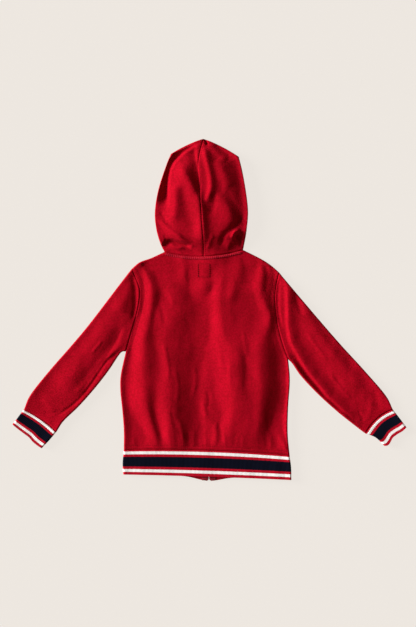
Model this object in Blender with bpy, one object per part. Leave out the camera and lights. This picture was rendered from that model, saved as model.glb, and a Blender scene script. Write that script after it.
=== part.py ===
"""A child's zip-front hooded sweatshirt, laid flat on its front: the back is uppermost, the sleeves
point down and outwards, and the hood is spread above the neck. Metres, +Z up, the hood towards +Y.
The origin is under the middle of the garment, on the surface it lies on.

The outer face of the cloth is one welded skin of quads. Its upper layer stands at height(), its lower
layer lies on the surface, and the two meet in a rounded fold along the silhouette. Each sewn piece is
cut out of that skin, drawn back a little from its seams, and given its thickness inwards."""

from collections import namedtuple

import bpy
import numpy as np
from mathutils import Matrix, Vector

# ------------------------------------------------------------------ driving sizes

CLOTH = 0.0020  # sweatshirt fleece
RIB = 0.0030  # rib knit, folded double
SEAM_GAP = 0.0003
SEAM_TURN = 0.0006  # the cut edges draw back further inside

FLAT = 0.0100  # height of the back above the surface where nothing lifts it
LOWEST = 0.0075  # two layers of cloth and the zip between them
EDGE_SPRING = 0.0015  # a folded edge stands a little higher
SPRING_REACH = 0.0100
FOLD_RADIUS = 0.0050
HOOD_FOLD_RADIUS = 0.0075
HOOD_RISE = 0.0140  # height that the hood gains over the back
HOOD_REACH = 0.0450  # distance in from the neck and the edges in which it gains it

NECK_DROP = 0.0110  # of the back neck seam, below a straight line
FRONT_NECK_BOW = 0.0060
HEM_RISE = 0.0045  # of the hem seam, above a straight line
BAND_RISE = 0.0011
FRONT_DROP = 0.0090  # the front hem hangs lower at the zip
FRONT_DROP_REACH = 0.0340
HOOD_TOP_BOW = 0.0030

# Points of the skin. Rows run from the hem upwards, and along the sleeves towards the hands.
Across = namedtuple("Across", "left_x left_y right_x right_y")
TORSO = (
    Across(-0.170, -0.279, 0.161, -0.290),
    Across(-0.170, -0.240, 0.157, -0.244),
    Across(-0.173, -0.200, 0.158, -0.192),
    Across(-0.177, -0.160, 0.161, -0.152),
    Across(-0.176, -0.128, 0.161, -0.128),
    Across(-0.166, -0.082, 0.158, -0.098),
)
ARMHOLE = (
    Across(-0.166, -0.082, 0.158, -0.098),
    Across(-0.155, -0.044, 0.146, -0.064),
    Across(-0.145, -0.010, 0.137, -0.028),
    Across(-0.139, 0.020, 0.132, 0.012),
    Across(-0.139, 0.045, 0.133, 0.044),
    Across(-0.154, 0.083, 0.140, 0.0755),
)
SHOULDER = (
    Across(-0.154, 0.083, 0.140, 0.0755),
    Across(-0.138, 0.096, 0.122, 0.091),
    Across(-0.116, 0.104, 0.101, 0.104),
    Across(-0.089, 0.1165, 0.068, 0.1205),
)
BAND_SIDES = (
    Across(-0.170, -0.279, 0.161, -0.290),
    Across(-0.1725, -0.306, 0.164, -0.314),
    Across(-0.171, -0.3275, 0.1645, -0.3385),
)
HOOD_SIDES = (
    Across(-0.089, 0.1165, 0.068, 0.1205),
    Across(-0.097, 0.133, 0.071, 0.135),
    Across(-0.105, 0.161, 0.075, 0.159),
    Across(-0.108, 0.196, 0.078, 0.196),
    Across(-0.101, 0.241, 0.074, 0.235),
    Across(-0.086, 0.288, 0.067, 0.275),
    Across(-0.076, 0.312, 0.0595, 0.306),
)
HOOD_RIM = (
    Across(-0.040, 0.090, 0.018, 0.090),
    Across(-0.060, 0.130, 0.036, 0.130),
    Across(-0.070, 0.175, 0.045, 0.175),
    Across(-0.069, 0.225, 0.043, 0.225),
    Across(-0.058, 0.268, 0.033, 0.266),
    Across(-0.040, 0.298, 0.018, 0.296),
)
HOOD_SEAM = (
    (-0.011, 0.1075), (-0.011, 0.133), (-0.015, 0.187), (-0.019, 0.243), (-0.021, 0.297), (-0.011, 0.342),
)
HOOD_RIM_TOP = (-0.011, 0.313)

Along = namedtuple("Along", "outer_x outer_y inner_x inner_y")
LEFT_SLEEVE = (
    Along(-0.154, 0.083, -0.166, -0.082),
    Along(-0.172, 0.060, -0.177, -0.086),
    Along(-0.236, -0.024, -0.200, -0.120),
    Along(-0.276, -0.072, -0.228, -0.156),
    Along(-0.318, -0.120, -0.260, -0.192),
    Along(-0.356, -0.168, -0.290, -0.221),
    Along(-0.369, -0.197, -0.304, -0.242),
)
LEFT_CUFF = (
    Along(-0.369, -0.197, -0.304, -0.242),
    Along(-0.381, -0.213, -0.317, -0.2575),
    Along(-0.392, -0.2275, -0.3335, -0.2752),
)
RIGHT_SLEEVE = (
    Along(0.140, 0.0755, 0.158, -0.098),
    Along(0.156, 0.056, 0.167, -0.1075),
    Along(0.224, -0.024, 0.184, -0.132),
    Along(0.266, -0.072, 0.218, -0.168),
    Along(0.310, -0.120, 0.258, -0.204),
    Along(0.352, -0.169, 0.296, -0.234),
    Along(0.367, -0.198, 0.312, -0.246),
)
RIGHT_CUFF = (
    Along(0.367, -0.198, 0.312, -0.246),
    Along(0.381, -0.216, 0.3325, -0.2540),
    Along(0.394, -0.2333, 0.350, -0.2707),
)
# The free end of each cuff, from the inner side of the arm to the outer one.
LEFT_CUFF_END = (
    (-0.3335, -0.2752), (-0.3410, -0.2705), (-0.3508, -0.2627),
    (-0.3594, -0.2530), (-0.3694, -0.2455), (-0.3808, -0.2369), (-0.3920, -0.2275),
)
RIGHT_CUFF_END = (
    (0.3500, -0.2707), (0.3560, -0.2694), (0.3598, -0.2660),
    (0.3632, -0.2600), (0.3672, -0.2535), (0.3768, -0.2463), (0.3854, -0.2413), (0.3940, -0.2333),
)
LEFT_CUFF_BOW = 0.0035  # of the cuff's seam, towards the sleeve
RIGHT_CUFF_BOW = 0.0070

# The zip, in a straight line up the centre front.
ZIP_FOOT = Vector((0.0000, -0.3395))
ZIP_TOP = Vector((-0.0090, 0.0520))
ZIP_HALF_GAP = 0.0033  # from the centre line to each front edge
TEETH_HALF = 0.0028
TAPE_HALF = 0.0140
TAPE = 0.0006
BAND_AT_ZIP = 0.0620  # the tapes lie on the rib this far up
ZIP_LIFT = 0.0041  # the cloth rides up over the slider
ZIP_LIFT_REACH = 0.0200
SLIDER_FOOT = -0.0080  # ends of its plates, along the zip from the top of the chain
SLIDER_HEAD = 0.0022
SLIDER_HALF = 0.0042
SLIDER_PLATE = 0.0010
POST_HALF = 0.0014
HINGE = -0.0040  # along the zip from the top of the chain
HINGE_HEIGHT = 0.0014
PULL_HALF = 0.0030
PULL_FOOT = -0.0180  # from the hinge
PULL_BAR = 0.0009  # the square bar at the pull's end, which turns under the slider's bridge
PULL_PLATE = 0.0010
BRIDGE_HALF = 0.0007
BRIDGE_GAP = 0.0010  # from the hinge to the bridge's legs
BRIDGE_LEG = 0.0007
BRIDGE_BAR = 0.0004

# The largest folds: a height above the cloth round it, or a depth if it is negative.
Fold = namedtuple("Fold", "height width path")
FOLDS = (
    # back: a broad swell down each half, and the narrower folds on them from the left to the right
    Fold(0.0075, 0.030, (
        (-0.112, 0.020), (-0.112, -0.060), (-0.108, -0.130), (-0.104, -0.200), (-0.092, -0.240),
    )),
    Fold(0.0070, 0.034, (
        (0.034, 0.030), (0.052, -0.050), (0.074, -0.120), (0.072, -0.190), (0.062, -0.240),
    )),
    Fold(0.0052, 0.012, (
        (-0.120, 0.078), (-0.114, 0.040), (-0.120, -0.004), (-0.130, -0.060), (-0.142, -0.156),
    )),
    Fold(0.0035, 0.011, ((-0.136, -0.170), (-0.124, -0.210), (-0.108, -0.250))),
    Fold(-0.0034, 0.009, (
        (-0.100, 0.034), (-0.112, -0.050), (-0.120, -0.150), (-0.112, -0.220), (-0.098, -0.262),
    )),
    Fold(0.0034, 0.010, ((-0.102, -0.140), (-0.096, -0.190), (-0.082, -0.240))),
    Fold(0.0026, 0.012, ((-0.050, 0.070), (-0.048, 0.000), (-0.052, -0.080), (-0.050, -0.200))),
    Fold(0.0030, 0.008, ((-0.050, 0.104), (-0.040, 0.080), (-0.034, 0.052))),
    Fold(-0.0042, 0.013, (
        (-0.030, 0.100), (-0.020, 0.040), (-0.011, -0.060), (-0.014, -0.180), (-0.018, -0.262),
    )),
    Fold(0.0040, 0.013, (
        (0.024, 0.044), (0.026, -0.040), (0.034, -0.130), (0.044, -0.186), (0.056, -0.250),
    )),
    Fold(0.0032, 0.009, ((0.070, 0.096), (0.062, 0.066), (0.048, 0.016))),
    Fold(0.0038, 0.014, ((0.094, -0.030), (0.094, -0.110), (0.098, -0.210))),
    Fold(0.0048, 0.010, ((0.106, 0.076), (0.109, 0.036), (0.124, -0.008))),
    Fold(-0.0036, 0.013, ((0.140, -0.070), (0.143, -0.120), (0.142, -0.190), (0.126, -0.258))),
    # valleys along the armholes
    Fold(-0.0030, 0.008, ((-0.152, 0.070), (-0.140, 0.030), (-0.146, -0.010), (-0.160, -0.062))),
    Fold(-0.0030, 0.008, ((0.138, 0.066), (0.133, 0.020), (0.138, -0.028), (0.152, -0.080))),
    # sleeves: along the back of the arm, beside the armhole, and along the underarm
    Fold(0.0030, 0.022, ((-0.196, -0.004), (-0.250, -0.072), (-0.318, -0.156))),
    Fold(0.0030, 0.009, ((-0.184, -0.072), (-0.222, -0.118), (-0.262, -0.168), (-0.296, -0.210))),
    Fold(-0.0028, 0.013, ((-0.186, -0.050), (-0.226, -0.096), (-0.262, -0.146))),
    Fold(0.0052, 0.009, ((0.158, 0.044), (0.160, -0.020), (0.166, -0.052), (0.186, -0.096))),
    Fold(0.0040, 0.009, ((0.186, -0.096), (0.222, -0.144), (0.262, -0.182), (0.296, -0.214))),
    Fold(-0.0030, 0.016, ((0.210, -0.040), (0.256, -0.092), (0.312, -0.150), (0.338, -0.192))),
    # hood: the deep folds that run down from its top, and the two at the neck
    Fold(-0.0090, 0.008, ((-0.050, 0.316), (-0.078, 0.288), (-0.085, 0.240), (-0.084, 0.204))),
    Fold(0.0040, 0.009, ((-0.062, 0.262), (-0.064, 0.220), (-0.068, 0.176))),
    Fold(-0.0050, 0.009, ((-0.056, 0.240), (-0.046, 0.200), (-0.034, 0.150))),
    Fold(0.0066, 0.010, ((-0.064, 0.296), (-0.040, 0.252), (-0.026, 0.200), (-0.016, 0.140))),
    Fold(-0.0070, 0.008, ((-0.026, 0.300), (-0.021, 0.250), (-0.017, 0.216))),
    Fold(0.0060, 0.008, ((-0.014, 0.306), (-0.002, 0.270), (0.004, 0.240), (-0.002, 0.216))),
    Fold(-0.0060, 0.012, ((0.012, 0.270), (0.022, 0.240), (0.046, 0.200), (0.058, 0.166))),
    Fold(0.0050, 0.012, ((0.026, 0.300), (0.040, 0.262), (0.056, 0.216))),
    Fold(0.0040, 0.012, ((0.022, 0.206), (0.036, 0.178), (0.034, 0.140))),
    Fold(-0.0080, 0.006, ((-0.092, 0.136), (-0.078, 0.138), (-0.056, 0.130))),
    Fold(-0.0080, 0.006, ((0.052, 0.152), (0.060, 0.140), (0.064, 0.126))),
)

# How finely each stretch of the skin is divided, as shares of its length.
NEAR_FOLD = (0.0, 0.3, 1.0)  # steps over a fold's radius


def spread(count, near_start, near_end):
    """Shares from 0 to 1 in even steps, with the first and last broken up over a fold's radius, each
    given as a share of the length (0 where that end has no fold)."""
    start = [near_start * s for s in NEAR_FOLD] if near_start else [0.0]
    end = [1 - near_end * s for s in NEAR_FOLD[::-1]] if near_end else [1.0]
    inner = np.linspace(start[-1], end[0], count + 1)[1:-1]
    return np.array([*start, *inner, *end])


TORSO_ROWS = spread(9, 0, 0)
ARMHOLE_ROWS = spread(7, 0.05, 0.035)
WRIST_COLUMNS = spread(7, 0.07, 0.07)
SHOULDER_COLUMNS = spread(4, 0.12, 0)
NECK_COLUMNS = spread(4, 0.09, 0)  # from the side of the neck to the centre back
HOOD_ROWS = spread(10, 0, 0.035)
RIM_COLUMNS = spread(2, 0.12, 0)  # from the hood's edge in to its rim
SLEEVE_ROWS = spread(15, 0, 0)
CUFF_ROWS = spread(3, 0, 0)
BAND_ROWS = spread(3, 0, 0)

# ------------------------------------------------------------------ curves and heights


def left(rows):
    return [(r.left_x, r.left_y) for r in rows]


def right(rows):
    return [(r.right_x, r.right_y) for r in rows]


def outer(rows):
    return [(r.outer_x, r.outer_y) for r in rows]


def inner(rows):
    return [(r.inner_x, r.inner_y) for r in rows]


def curve(points, shares, steps=12):
    """Points at these shares of the length of a smooth curve through the given ones."""
    p = np.array(points, float)
    if len(p) > 2:
        q = np.vstack([2 * p[0] - p[1], p, 2 * p[-1] - p[-2]])
        t = np.linspace(0, 1, steps, endpoint=False)[:, None]
        spans = [
            q[i] + t * (q[i + 1] - q[i - 1]) / 2
            + t**2 * (q[i - 1] - 2.5 * q[i] + 2 * q[i + 1] - q[i + 2] / 2)
            + t**3 * (1.5 * (q[i] - q[i + 1]) + (q[i + 2] - q[i - 1]) / 2)
            for i in range(1, len(p))
        ]
        p = np.vstack([*spans, p[-1:]])
    length = np.concatenate([[0], np.cumsum(np.linalg.norm(np.diff(p, axis=0), axis=1))])
    return np.stack([np.interp(np.array(shares) * length[-1], length, p[:, k]) for k in (0, 1)], axis=1)


def bowed(start, end, shares, bow):
    """A shallow bow between two points, its middle moved by the vector bow."""
    s = np.array(shares)[:, None]
    return (1 - s) * np.array(start) + s * np.array(end) + 4 * s * (1 - s) * np.array(bow)


def joined(*stretches):
    """Several stretches end to end, without their doubled points."""
    return np.vstack([stretches[0], *[s[1:] for s in stretches[1:]]])


def distance(points, line):
    """From each point to a line of straight spans."""
    a, b = line[:-1], line[1:]
    along = b - a
    out = np.full(len(points), np.inf)
    for start, step in zip(a, along):
        t = np.clip((points - start) @ step / (step @ step), 0, 1)
        out = np.minimum(out, np.linalg.norm(points - start - t[:, None] * step, axis=1))
    return out


def smooth(t):
    t = np.clip(t, 0, 1)
    return t * t * (3 - 2 * t)


EVEN = np.linspace(0, 1, 61)
LEFT_NECK, RIGHT_NECK = left(SHOULDER)[-1], right(SHOULDER)[-1]
HOOD_TOP = HOOD_SEAM[-1]


def hood_top_edge(side, shares):
    """The hood's upper edge, from the top of its seam to its left or right corner."""
    return bowed(HOOD_TOP, side(HOOD_SIDES)[-1], shares, (0, HOOD_TOP_BOW))


UPPER_SILHOUETTE = joined(
    curve(outer(LEFT_CUFF), EVEN)[::-1],
    curve(outer(LEFT_SLEEVE), EVEN)[::-1],
    curve(left(SHOULDER), EVEN),
    curve(left(HOOD_SIDES), EVEN),
    hood_top_edge(left, EVEN)[::-1],
    hood_top_edge(right, EVEN),
    curve(right(HOOD_SIDES), EVEN)[::-1],
    curve(right(SHOULDER), EVEN)[::-1],
    curve(outer(RIGHT_SLEEVE), EVEN),
    curve(outer(RIGHT_CUFF), EVEN),
)
LEFT_SILHOUETTE = joined(
    curve(inner(LEFT_CUFF), EVEN)[::-1],
    curve(inner(LEFT_SLEEVE), EVEN)[::-1],
    curve(left(TORSO), EVEN)[::-1],
    curve(left(BAND_SIDES), EVEN),
)
RIGHT_SILHOUETTE = joined(
    curve(inner(RIGHT_CUFF), EVEN)[::-1],
    curve(inner(RIGHT_SLEEVE), EVEN)[::-1],
    curve(right(TORSO), EVEN)[::-1],
    curve(right(BAND_SIDES), EVEN),
)


def from_edge(points):
    """In from the silhouette, counting points on its drawn curve as on it."""
    lines = (UPPER_SILHOUETTE, LEFT_SILHOUETTE, RIGHT_SILHOUETTE)
    return np.maximum(np.min([distance(points, line) for line in lines], axis=0) - 0.0003, 0)


def over_neck(points):
    """0 on the body and 1 well up the hood."""
    share = (points[:, 0] - LEFT_NECK[0]) / (RIGHT_NECK[0] - LEFT_NECK[0])
    seam = LEFT_NECK[1] + share * (RIGHT_NECK[1] - LEFT_NECK[1]) - 4 * NECK_DROP * share * (1 - share)
    return smooth((points[:, 1] - seam) / HOOD_REACH)


def zip_lift(points):
    """How far the fronts and what lies on them ride up over the slider."""
    slider = ZIP_TOP + (ZIP_TOP - ZIP_FOOT).normalized() * SLIDER_FOOT / 2
    return ZIP_LIFT * np.exp(-((np.linalg.norm(points - np.array(slider), axis=1) / ZIP_LIFT_REACH) ** 2))


def height(points):
    """Of the upper layer's outer face, where it isn't turning over at the silhouette."""
    edge = from_edge(points)
    tall = FLAT + EDGE_SPRING * np.exp(-((edge / SPRING_REACH) ** 2))
    tall += HOOD_RISE * over_neck(points) * (0.3 + 0.7 * smooth(edge / HOOD_REACH))
    for fold in FOLDS:
        away = distance(points, curve(fold.path, EVEN[::5]))
        tall += fold.height * np.exp(-((away / fold.width) ** 2))
    lowest = LOWEST + 1.5 * zip_lift(points)
    spare = tall - lowest
    return lowest + 0.5 * (spare + np.sqrt(spare**2 + 0.0012**2))


def layer(points, upper):
    """Heights of the upper or the lower layer's outer face over an array of points."""
    flat = points.reshape(-1, 2)
    radius = FOLD_RADIUS + (HOOD_FOLD_RADIUS - FOLD_RADIUS) * over_neck(flat)
    turn = np.sqrt(1 - (1 - np.clip(from_edge(flat) / radius, 0, 1)) ** 2)
    tall = height(flat)
    z = tall * (0.5 + 0.5 * turn) if upper else tall * (0.5 - 0.5 * turn) + zip_lift(flat) * turn
    return np.concatenate([flat, z[:, None]], axis=1).reshape(*points.shape[:-1], 3)


def patch(start, end, first, last):
    """A grid of points between two opposite edges, start and end, whose first points are joined by
    first and whose last points by last."""

    def along(a, b):
        steps = np.linalg.norm(np.diff(a, axis=0), axis=1) + np.linalg.norm(np.diff(b, axis=0), axis=1)
        return np.concatenate([[0], np.cumsum(steps)]) / steps.sum()

    u, v = along(start, end)[None, :, None], along(first, last)[:, None, None]
    corners = (1 - u) * (1 - v) * start[0] + u * (1 - v) * start[-1] + (1 - u) * v * end[0] + u * v * end[-1]
    return (1 - v) * start + v * end + (1 - u) * first[:, None] + u * last[:, None] - corners


# ------------------------------------------------------------------ the skin


class Skin:
    """Quads welded where their corners meet, each belonging to a named piece."""

    def __init__(self):
        self.points, self.found, self.quads = [], {}, {}

    def corner(self, point):
        key = tuple(np.round(point, 6))
        if key not in self.found:
            self.found[key] = len(self.points)
            self.points.append(point)
        return self.found[key]

    def add(self, piece, grid, upper):
        """A grid of outline points on the upper or lower layer, its faces turned outwards."""
        ids = np.array([[self.corner(p) for p in row] for row in layer(grid, upper)])
        area = np.cross(grid[-1, -1] - grid[0, 0], grid[-1, 0] - grid[0, -1])
        turned = (area > 0) != upper
        for j in range(ids.shape[0] - 1):
            for i in range(ids.shape[1] - 1):
                quad = [ids[j, i], ids[j, i + 1], ids[j + 1, i + 1], ids[j + 1, i]]
                self.quads.setdefault(piece, []).append(quad[::-1] if turned else quad)


def normals_of(points, quads):
    """Outward at the corners of these quads."""
    out = np.full_like(points, 1e-12)
    for quad in quads:
        a, b, c, d = points[quad]
        out[quad] += np.cross(c - a, d - b)
    return out / np.linalg.norm(out, axis=1)[:, None]


def edges_of(quads):
    """The open edges of a piece, in the direction of its faces."""
    used = {(q[i], q[(i + 1) % 4]) for q in quads for i in range(4)}
    return [(a, b) for a, b in used if (b, a) not in used]


def drawn_back(points, normals, rim, amount):
    """The piece's points, with those of its open edges moved in by this much."""
    moved = points.copy()
    tangent = {a: np.zeros(3) for a, _ in rim}
    for a, b in rim:
        step = (points[b] - points[a]) / np.linalg.norm(points[b] - points[a])
        tangent[a] += step
        tangent[b] += step
    for corner, line in tangent.items():
        way = np.cross(normals[corner], line)
        moved[corner] += way / np.linalg.norm(way) * amount
    return moved


def cloth_piece(name, skin, normals, thickness, material):
    """One sewn piece: its outer face from the skin, its inner face a thickness within, and its edges."""
    quads = skin.quads[name]
    rim = edges_of(quads)
    points = np.array(skin.points)
    outer_face = drawn_back(points, normals, rim, SEAM_GAP / 2)
    inner_face = drawn_back(points, normals, rim, SEAM_GAP / 2 + SEAM_TURN) - normals * thickness
    used = sorted({corner for quad in quads for corner in quad})
    place = {corner: i for i, corner in enumerate(used)}
    count = len(used)
    faces = [[place[c] for c in quad] for quad in quads]
    faces += [[place[c] + count for c in quad[::-1]] for quad in quads]
    faces += [[place[b], place[a], place[a] + count, place[b] + count] for a, b in rim]
    mesh = bpy.data.meshes.new(name)
    mesh.from_pydata(np.vstack([outer_face[used], inner_face[used]]).tolist(), [], faces)
    mesh.shade_smooth()
    mesh.set_sharp_from_angle(angle=np.radians(50))
    return place_object(name, mesh, material)


def place_object(name, mesh, material):
    mesh.materials.append(material)
    made = bpy.data.objects.new(name, mesh)
    bpy.context.scene.collection.objects.link(made)
    return made


def material(name, colour, roughness, metallic=0.0):
    made = bpy.data.materials.new(name)
    made.use_nodes = True
    shader = made.node_tree.nodes["Principled BSDF"]
    shader.inputs["Base Color"].default_value = (*colour, 1)
    shader.inputs["Roughness"].default_value = roughness
    shader.inputs["Metallic"].default_value = metallic
    return made


# ------------------------------------------------------------------ seams and edges shared by pieces


def front_edge(share):
    """The centre front line at a share of the zip's length from its foot."""
    return np.array(ZIP_FOOT.lerp(ZIP_TOP, share))


def body_side(side):
    return joined(curve(side(TORSO), TORSO_ROWS), curve(side(ARMHOLE), ARMHOLE_ROWS))


def back_neck(shares):
    return bowed(LEFT_NECK, RIGHT_NECK, shares, (0, -NECK_DROP))


def half_neck(side):
    """The back neck seam from the left or right side of the neck to the centre back."""
    whole = NECK_COLUMNS / 2
    return back_neck(whole if side is left else 1 - whole)


def across_zip(side):
    return np.array((-ZIP_HALF_GAP if side is left else ZIP_HALF_GAP, 0))


def front_neck(side):
    """The front neck seam, from the side of the neck to the zip."""
    return bowed(side(SHOULDER)[-1], np.array(ZIP_TOP) + across_zip(side), RIM_COLUMNS, (0, -FRONT_NECK_BOW))


def hem_seam(shares):
    return bowed(left(TORSO)[0], right(TORSO)[0], shares, (0, HEM_RISE))


def band_foot(shares):
    return bowed(left(BAND_SIDES)[-1], right(BAND_SIDES)[-1], shares, (0, BAND_RISE))


SHOULDER_SHARE = 0.25  # of the hem's width that lies below each shoulder
BESIDE_NECK = SHOULDER_COLUMNS * SHOULDER_SHARE
LEFT_COLUMNS = np.concatenate([BESIDE_NECK, SHOULDER_SHARE + NECK_COLUMNS[1:] * (0.5 - SHOULDER_SHARE)])
BACK_COLUMNS = np.concatenate([LEFT_COLUMNS, 1 - LEFT_COLUMNS[-2::-1]])
FRONT_COLUMNS = np.concatenate([BESIDE_NECK, SHOULDER_SHARE + RIM_COLUMNS[1:] * (0.5 - SHOULDER_SHARE)])


def half_line(whole, side, foot_share):
    """The half of a line across the body that one front covers, from the side to the zip."""
    shares = FRONT_COLUMNS if side is left else 1 - FRONT_COLUMNS
    line = whole(shares)
    middle = front_edge(foot_share) + across_zip(side)
    line[:, 0] += (middle[0] - line[-1, 0]) * smooth(FRONT_COLUMNS * 2)
    return line


def add_body(skin):
    """The back, the two fronts and the hem band."""
    shoulders = [curve(side(SHOULDER), SHOULDER_COLUMNS) for side in (left, right)]
    neck_line = back_neck(np.concatenate([NECK_COLUMNS / 2, 1 - NECK_COLUMNS[-2::-1] / 2]))
    top = joined(shoulders[0], neck_line, shoulders[1][::-1])
    hem, foot = hem_seam(BACK_COLUMNS), band_foot(BACK_COLUMNS)
    skin.add("back", patch(hem, top, body_side(left), body_side(right)), upper=True)
    band_sides = [curve(side(BAND_SIDES), BAND_ROWS) for side in (left, right)]
    skin.add("hem_band", patch(hem, foot, *band_sides), upper=True)
    for side, name in ((left, "front_left"), (right, "front_right")):
        seam, edge = half_line(hem_seam, side, 0.15), half_line(band_foot, side, 0)
        edge[:, 1] -= FRONT_DROP * np.exp(-(((edge[:, 0] - ZIP_FOOT.x) / FRONT_DROP_REACH) ** 2))
        neck = joined(curve(side(SHOULDER), SHOULDER_COLUMNS), front_neck(side))
        closer_to_top = 1 - np.linspace(1, 0, len(body_side(side)))[:, None] ** 1.35
        zip_side = seam[-1] + closer_to_top * (neck[-1] - seam[-1])
        skin.add(name, patch(seam, neck, body_side(side), zip_side), upper=False)
        zip_end = np.linspace(seam[-1], edge[-1], len(BAND_ROWS))
        skin.add("hem_band", patch(seam, edge, curve(side(BAND_SIDES), BAND_ROWS), zip_end), upper=False)


def add_sleeve(skin, side, name, sleeve, cuff, free_end, bow):
    """A sleeve and its cuff, each a flattened tube."""
    armhole = curve(side(ARMHOLE), ARMHOLE_ROWS)
    lean = np.array(outer(sleeve)[-2]) - np.array(outer(cuff)[-1])
    seam = bowed(inner(cuff)[0], outer(cuff)[0], WRIST_COLUMNS, lean / np.linalg.norm(lean) * bow)
    end = curve(free_end, WRIST_COLUMNS)
    for upper in (True, False):
        skin.add(
            f"sleeve_{name}",
            patch(armhole, seam, curve(inner(sleeve), SLEEVE_ROWS), curve(outer(sleeve), SLEEVE_ROWS)),
            upper,
        )
        skin.add(
            f"cuff_{name}",
            patch(seam, end, curve(inner(cuff), CUFF_ROWS), curve(outer(cuff), CUFF_ROWS)),
            upper,
        )


def add_hood(skin, side, name):
    """One half of the hood: its back, and the part turned under as far as the rim of the opening."""
    neck = half_neck(side)
    edge = curve(side(HOOD_SIDES), HOOD_ROWS)
    seam = curve(HOOD_SEAM, HOOD_ROWS)
    seam[0] = neck[-1]
    top = hood_top_edge(side, 1 - NECK_COLUMNS)
    skin.add(f"hood_{name}", patch(neck, top, edge, seam), upper=True)
    outline = joined(edge, top)
    start = front_neck(side)
    rim = curve([tuple(start[-1]), *side(HOOD_RIM), HOOD_RIM_TOP], np.linspace(0, 1, len(outline)))
    crown = bowed(HOOD_TOP, HOOD_RIM_TOP, RIM_COLUMNS, (0, 0))
    skin.add(f"hood_{name}", patch(start, crown, outline, rim), upper=False)


# ------------------------------------------------------------------ the zip


def zip_frame(share):
    """A frame on the zip's line: X across it, Y up it and Z away from the surface."""
    up = (ZIP_TOP - ZIP_FOOT).normalized()
    place = ZIP_FOOT.lerp(ZIP_TOP, share)
    return Matrix(((up.y, up.x, 0, place.x), (-up.x, up.y, 0, place.y), (0, 0, 1, 0), (0, 0, 0, 1)))


def ribbon(name, rows, made_of):
    """A solid through cross-sections of equally many points."""
    count = len(rows[0])
    faces = [
        [j * count + i, j * count + (i + 1) % count, (j + 1) * count + (i + 1) % count, (j + 1) * count + i]
        for j in range(len(rows) - 1)
        for i in range(count)
    ]
    faces += [list(range(count))[::-1], [len(rows) * count - count + i for i in range(count)]]
    mesh = bpy.data.meshes.new(name)
    mesh.from_pydata([tuple(p) for row in rows for p in row], [], faces)
    return place_object(name, mesh, made_of)


def zip_chain(made_of):
    """Closed teeth on their two tapes, over the inner faces of the front edges."""
    length = (ZIP_TOP - ZIP_FOOT).length
    band_end = BAND_AT_ZIP / length
    stations = [(0.0, RIB), (band_end, RIB), (band_end + 0.02, CLOTH), (0.5, CLOTH)]
    stations += [(s, CLOTH) for s in np.linspace(0.85, 1 - 0.0004 / length, 8)]
    rows = []
    for share, cloth in stations:
        frame = zip_frame(share)
        up = zip_lift(np.array([frame.translation.xy]))[0]
        foot, seat, top = up + SEAM_GAP, up + cloth + SEAM_GAP, up + cloth + SEAM_GAP + TAPE
        section = [
            (-TEETH_HALF, foot), (TEETH_HALF, foot), (TEETH_HALF, seat), (TAPE_HALF, seat),
            (TAPE_HALF, top), (-TAPE_HALF, top), (-TAPE_HALF, seat), (-TEETH_HALF, seat),
        ]
        rows.append([frame @ Vector((x, 0, z)) for x, z in section])
    return ribbon("zip", [row[::-1] for row in rows], made_of)


def block(name, low, high, made_of):
    """A box between two corners, in the frame of the zip's top: X across, Y up the zip."""
    corners = [(x, y, z) for x in (low[0], high[0]) for y in (low[1], high[1]) for z in (low[2], high[2])]
    faces = [(0, 1, 3, 2), (4, 6, 7, 5), (0, 4, 5, 1), (2, 3, 7, 6), (0, 2, 6, 4), (1, 5, 7, 3)]
    mesh = bpy.data.meshes.new(name)
    mesh.from_pydata(corners, [], faces)
    return place_object(name, mesh, made_of)


def combine(name, whole, others, operation):
    """Joins the other blocks to the whole, or cuts them out of it."""
    for i, other in enumerate(others):
        other.name = f"{name}_tool_{i}"
        other.hide_render = True
        other.display_type = "WIRE"
        step = whole.modifiers.new(f"step_{i}", "BOOLEAN")
        step.operation = operation
        step.solver = "EXACT"
        step.object = other
    whole.name = name
    for made in (whole, *others):
        made.data.transform(zip_frame(1.0))


def slider():
    """Two plates joined by a post at the head of the chain, and a bridge under them for the pull."""
    under = (HINGE_HEIGHT + 0.0010, HINGE_HEIGHT + 0.0010 + SLIDER_PLATE)
    over = ZIP_LIFT + CLOTH + TAPE + 2 * SEAM_GAP
    plates = [
        block("plate", (-SLIDER_HALF, SLIDER_FOOT, z), (SLIDER_HALF, SLIDER_HEAD, z + SLIDER_PLATE), METAL)
        for z in (under[0], over)
    ]
    post_top = (POST_HALF, SLIDER_HEAD - 0.0003, over + 0.0005)
    post = block("post", (-POST_HALF, SEAM_GAP, under[0] + 0.0003), post_top, METAL)
    reach = BRIDGE_GAP + BRIDGE_LEG
    legs = []
    for y in (-reach, BRIDGE_GAP):
        leg_top = (BRIDGE_HALF, HINGE + y + BRIDGE_LEG, under[0] + 0.0003)
        legs.append(block("leg", (-BRIDGE_HALF, HINGE + y, 0), leg_top, METAL))
    bar_half, bar_reach = BRIDGE_HALF - 0.0001, reach - 0.0001
    bar = block("bar", (-bar_half, HINGE - bar_reach, 0), (bar_half, HINGE + bar_reach, BRIDGE_BAR), METAL)
    combine("slider", plates[0], [plates[1], post, *legs, bar], "UNION")


def pull_tab():
    """A flat tab with a slot for the bridge, lying along the zip; it turns on the bar at its end."""
    half = PULL_PLATE / 2
    end = PULL_BAR / 2
    plate = block("plate", (-PULL_HALF, PULL_FOOT, -half), (PULL_HALF, end, half), METAL)
    slot = block("slot", (-BRIDGE_HALF - 0.0004, -0.0027, -0.001), (BRIDGE_HALF + 0.0004, -end, 0.001), METAL)
    combine("pull_tab", plate, [slot], "DIFFERENCE")
    hinge = Matrix.Translation((0, HINGE, HINGE_HEIGHT))
    turned = zip_frame(1.0) @ hinge
    for made in (plate, slot):
        made.data.transform(zip_frame(1.0).inverted())
        made.matrix_world = turned


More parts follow.
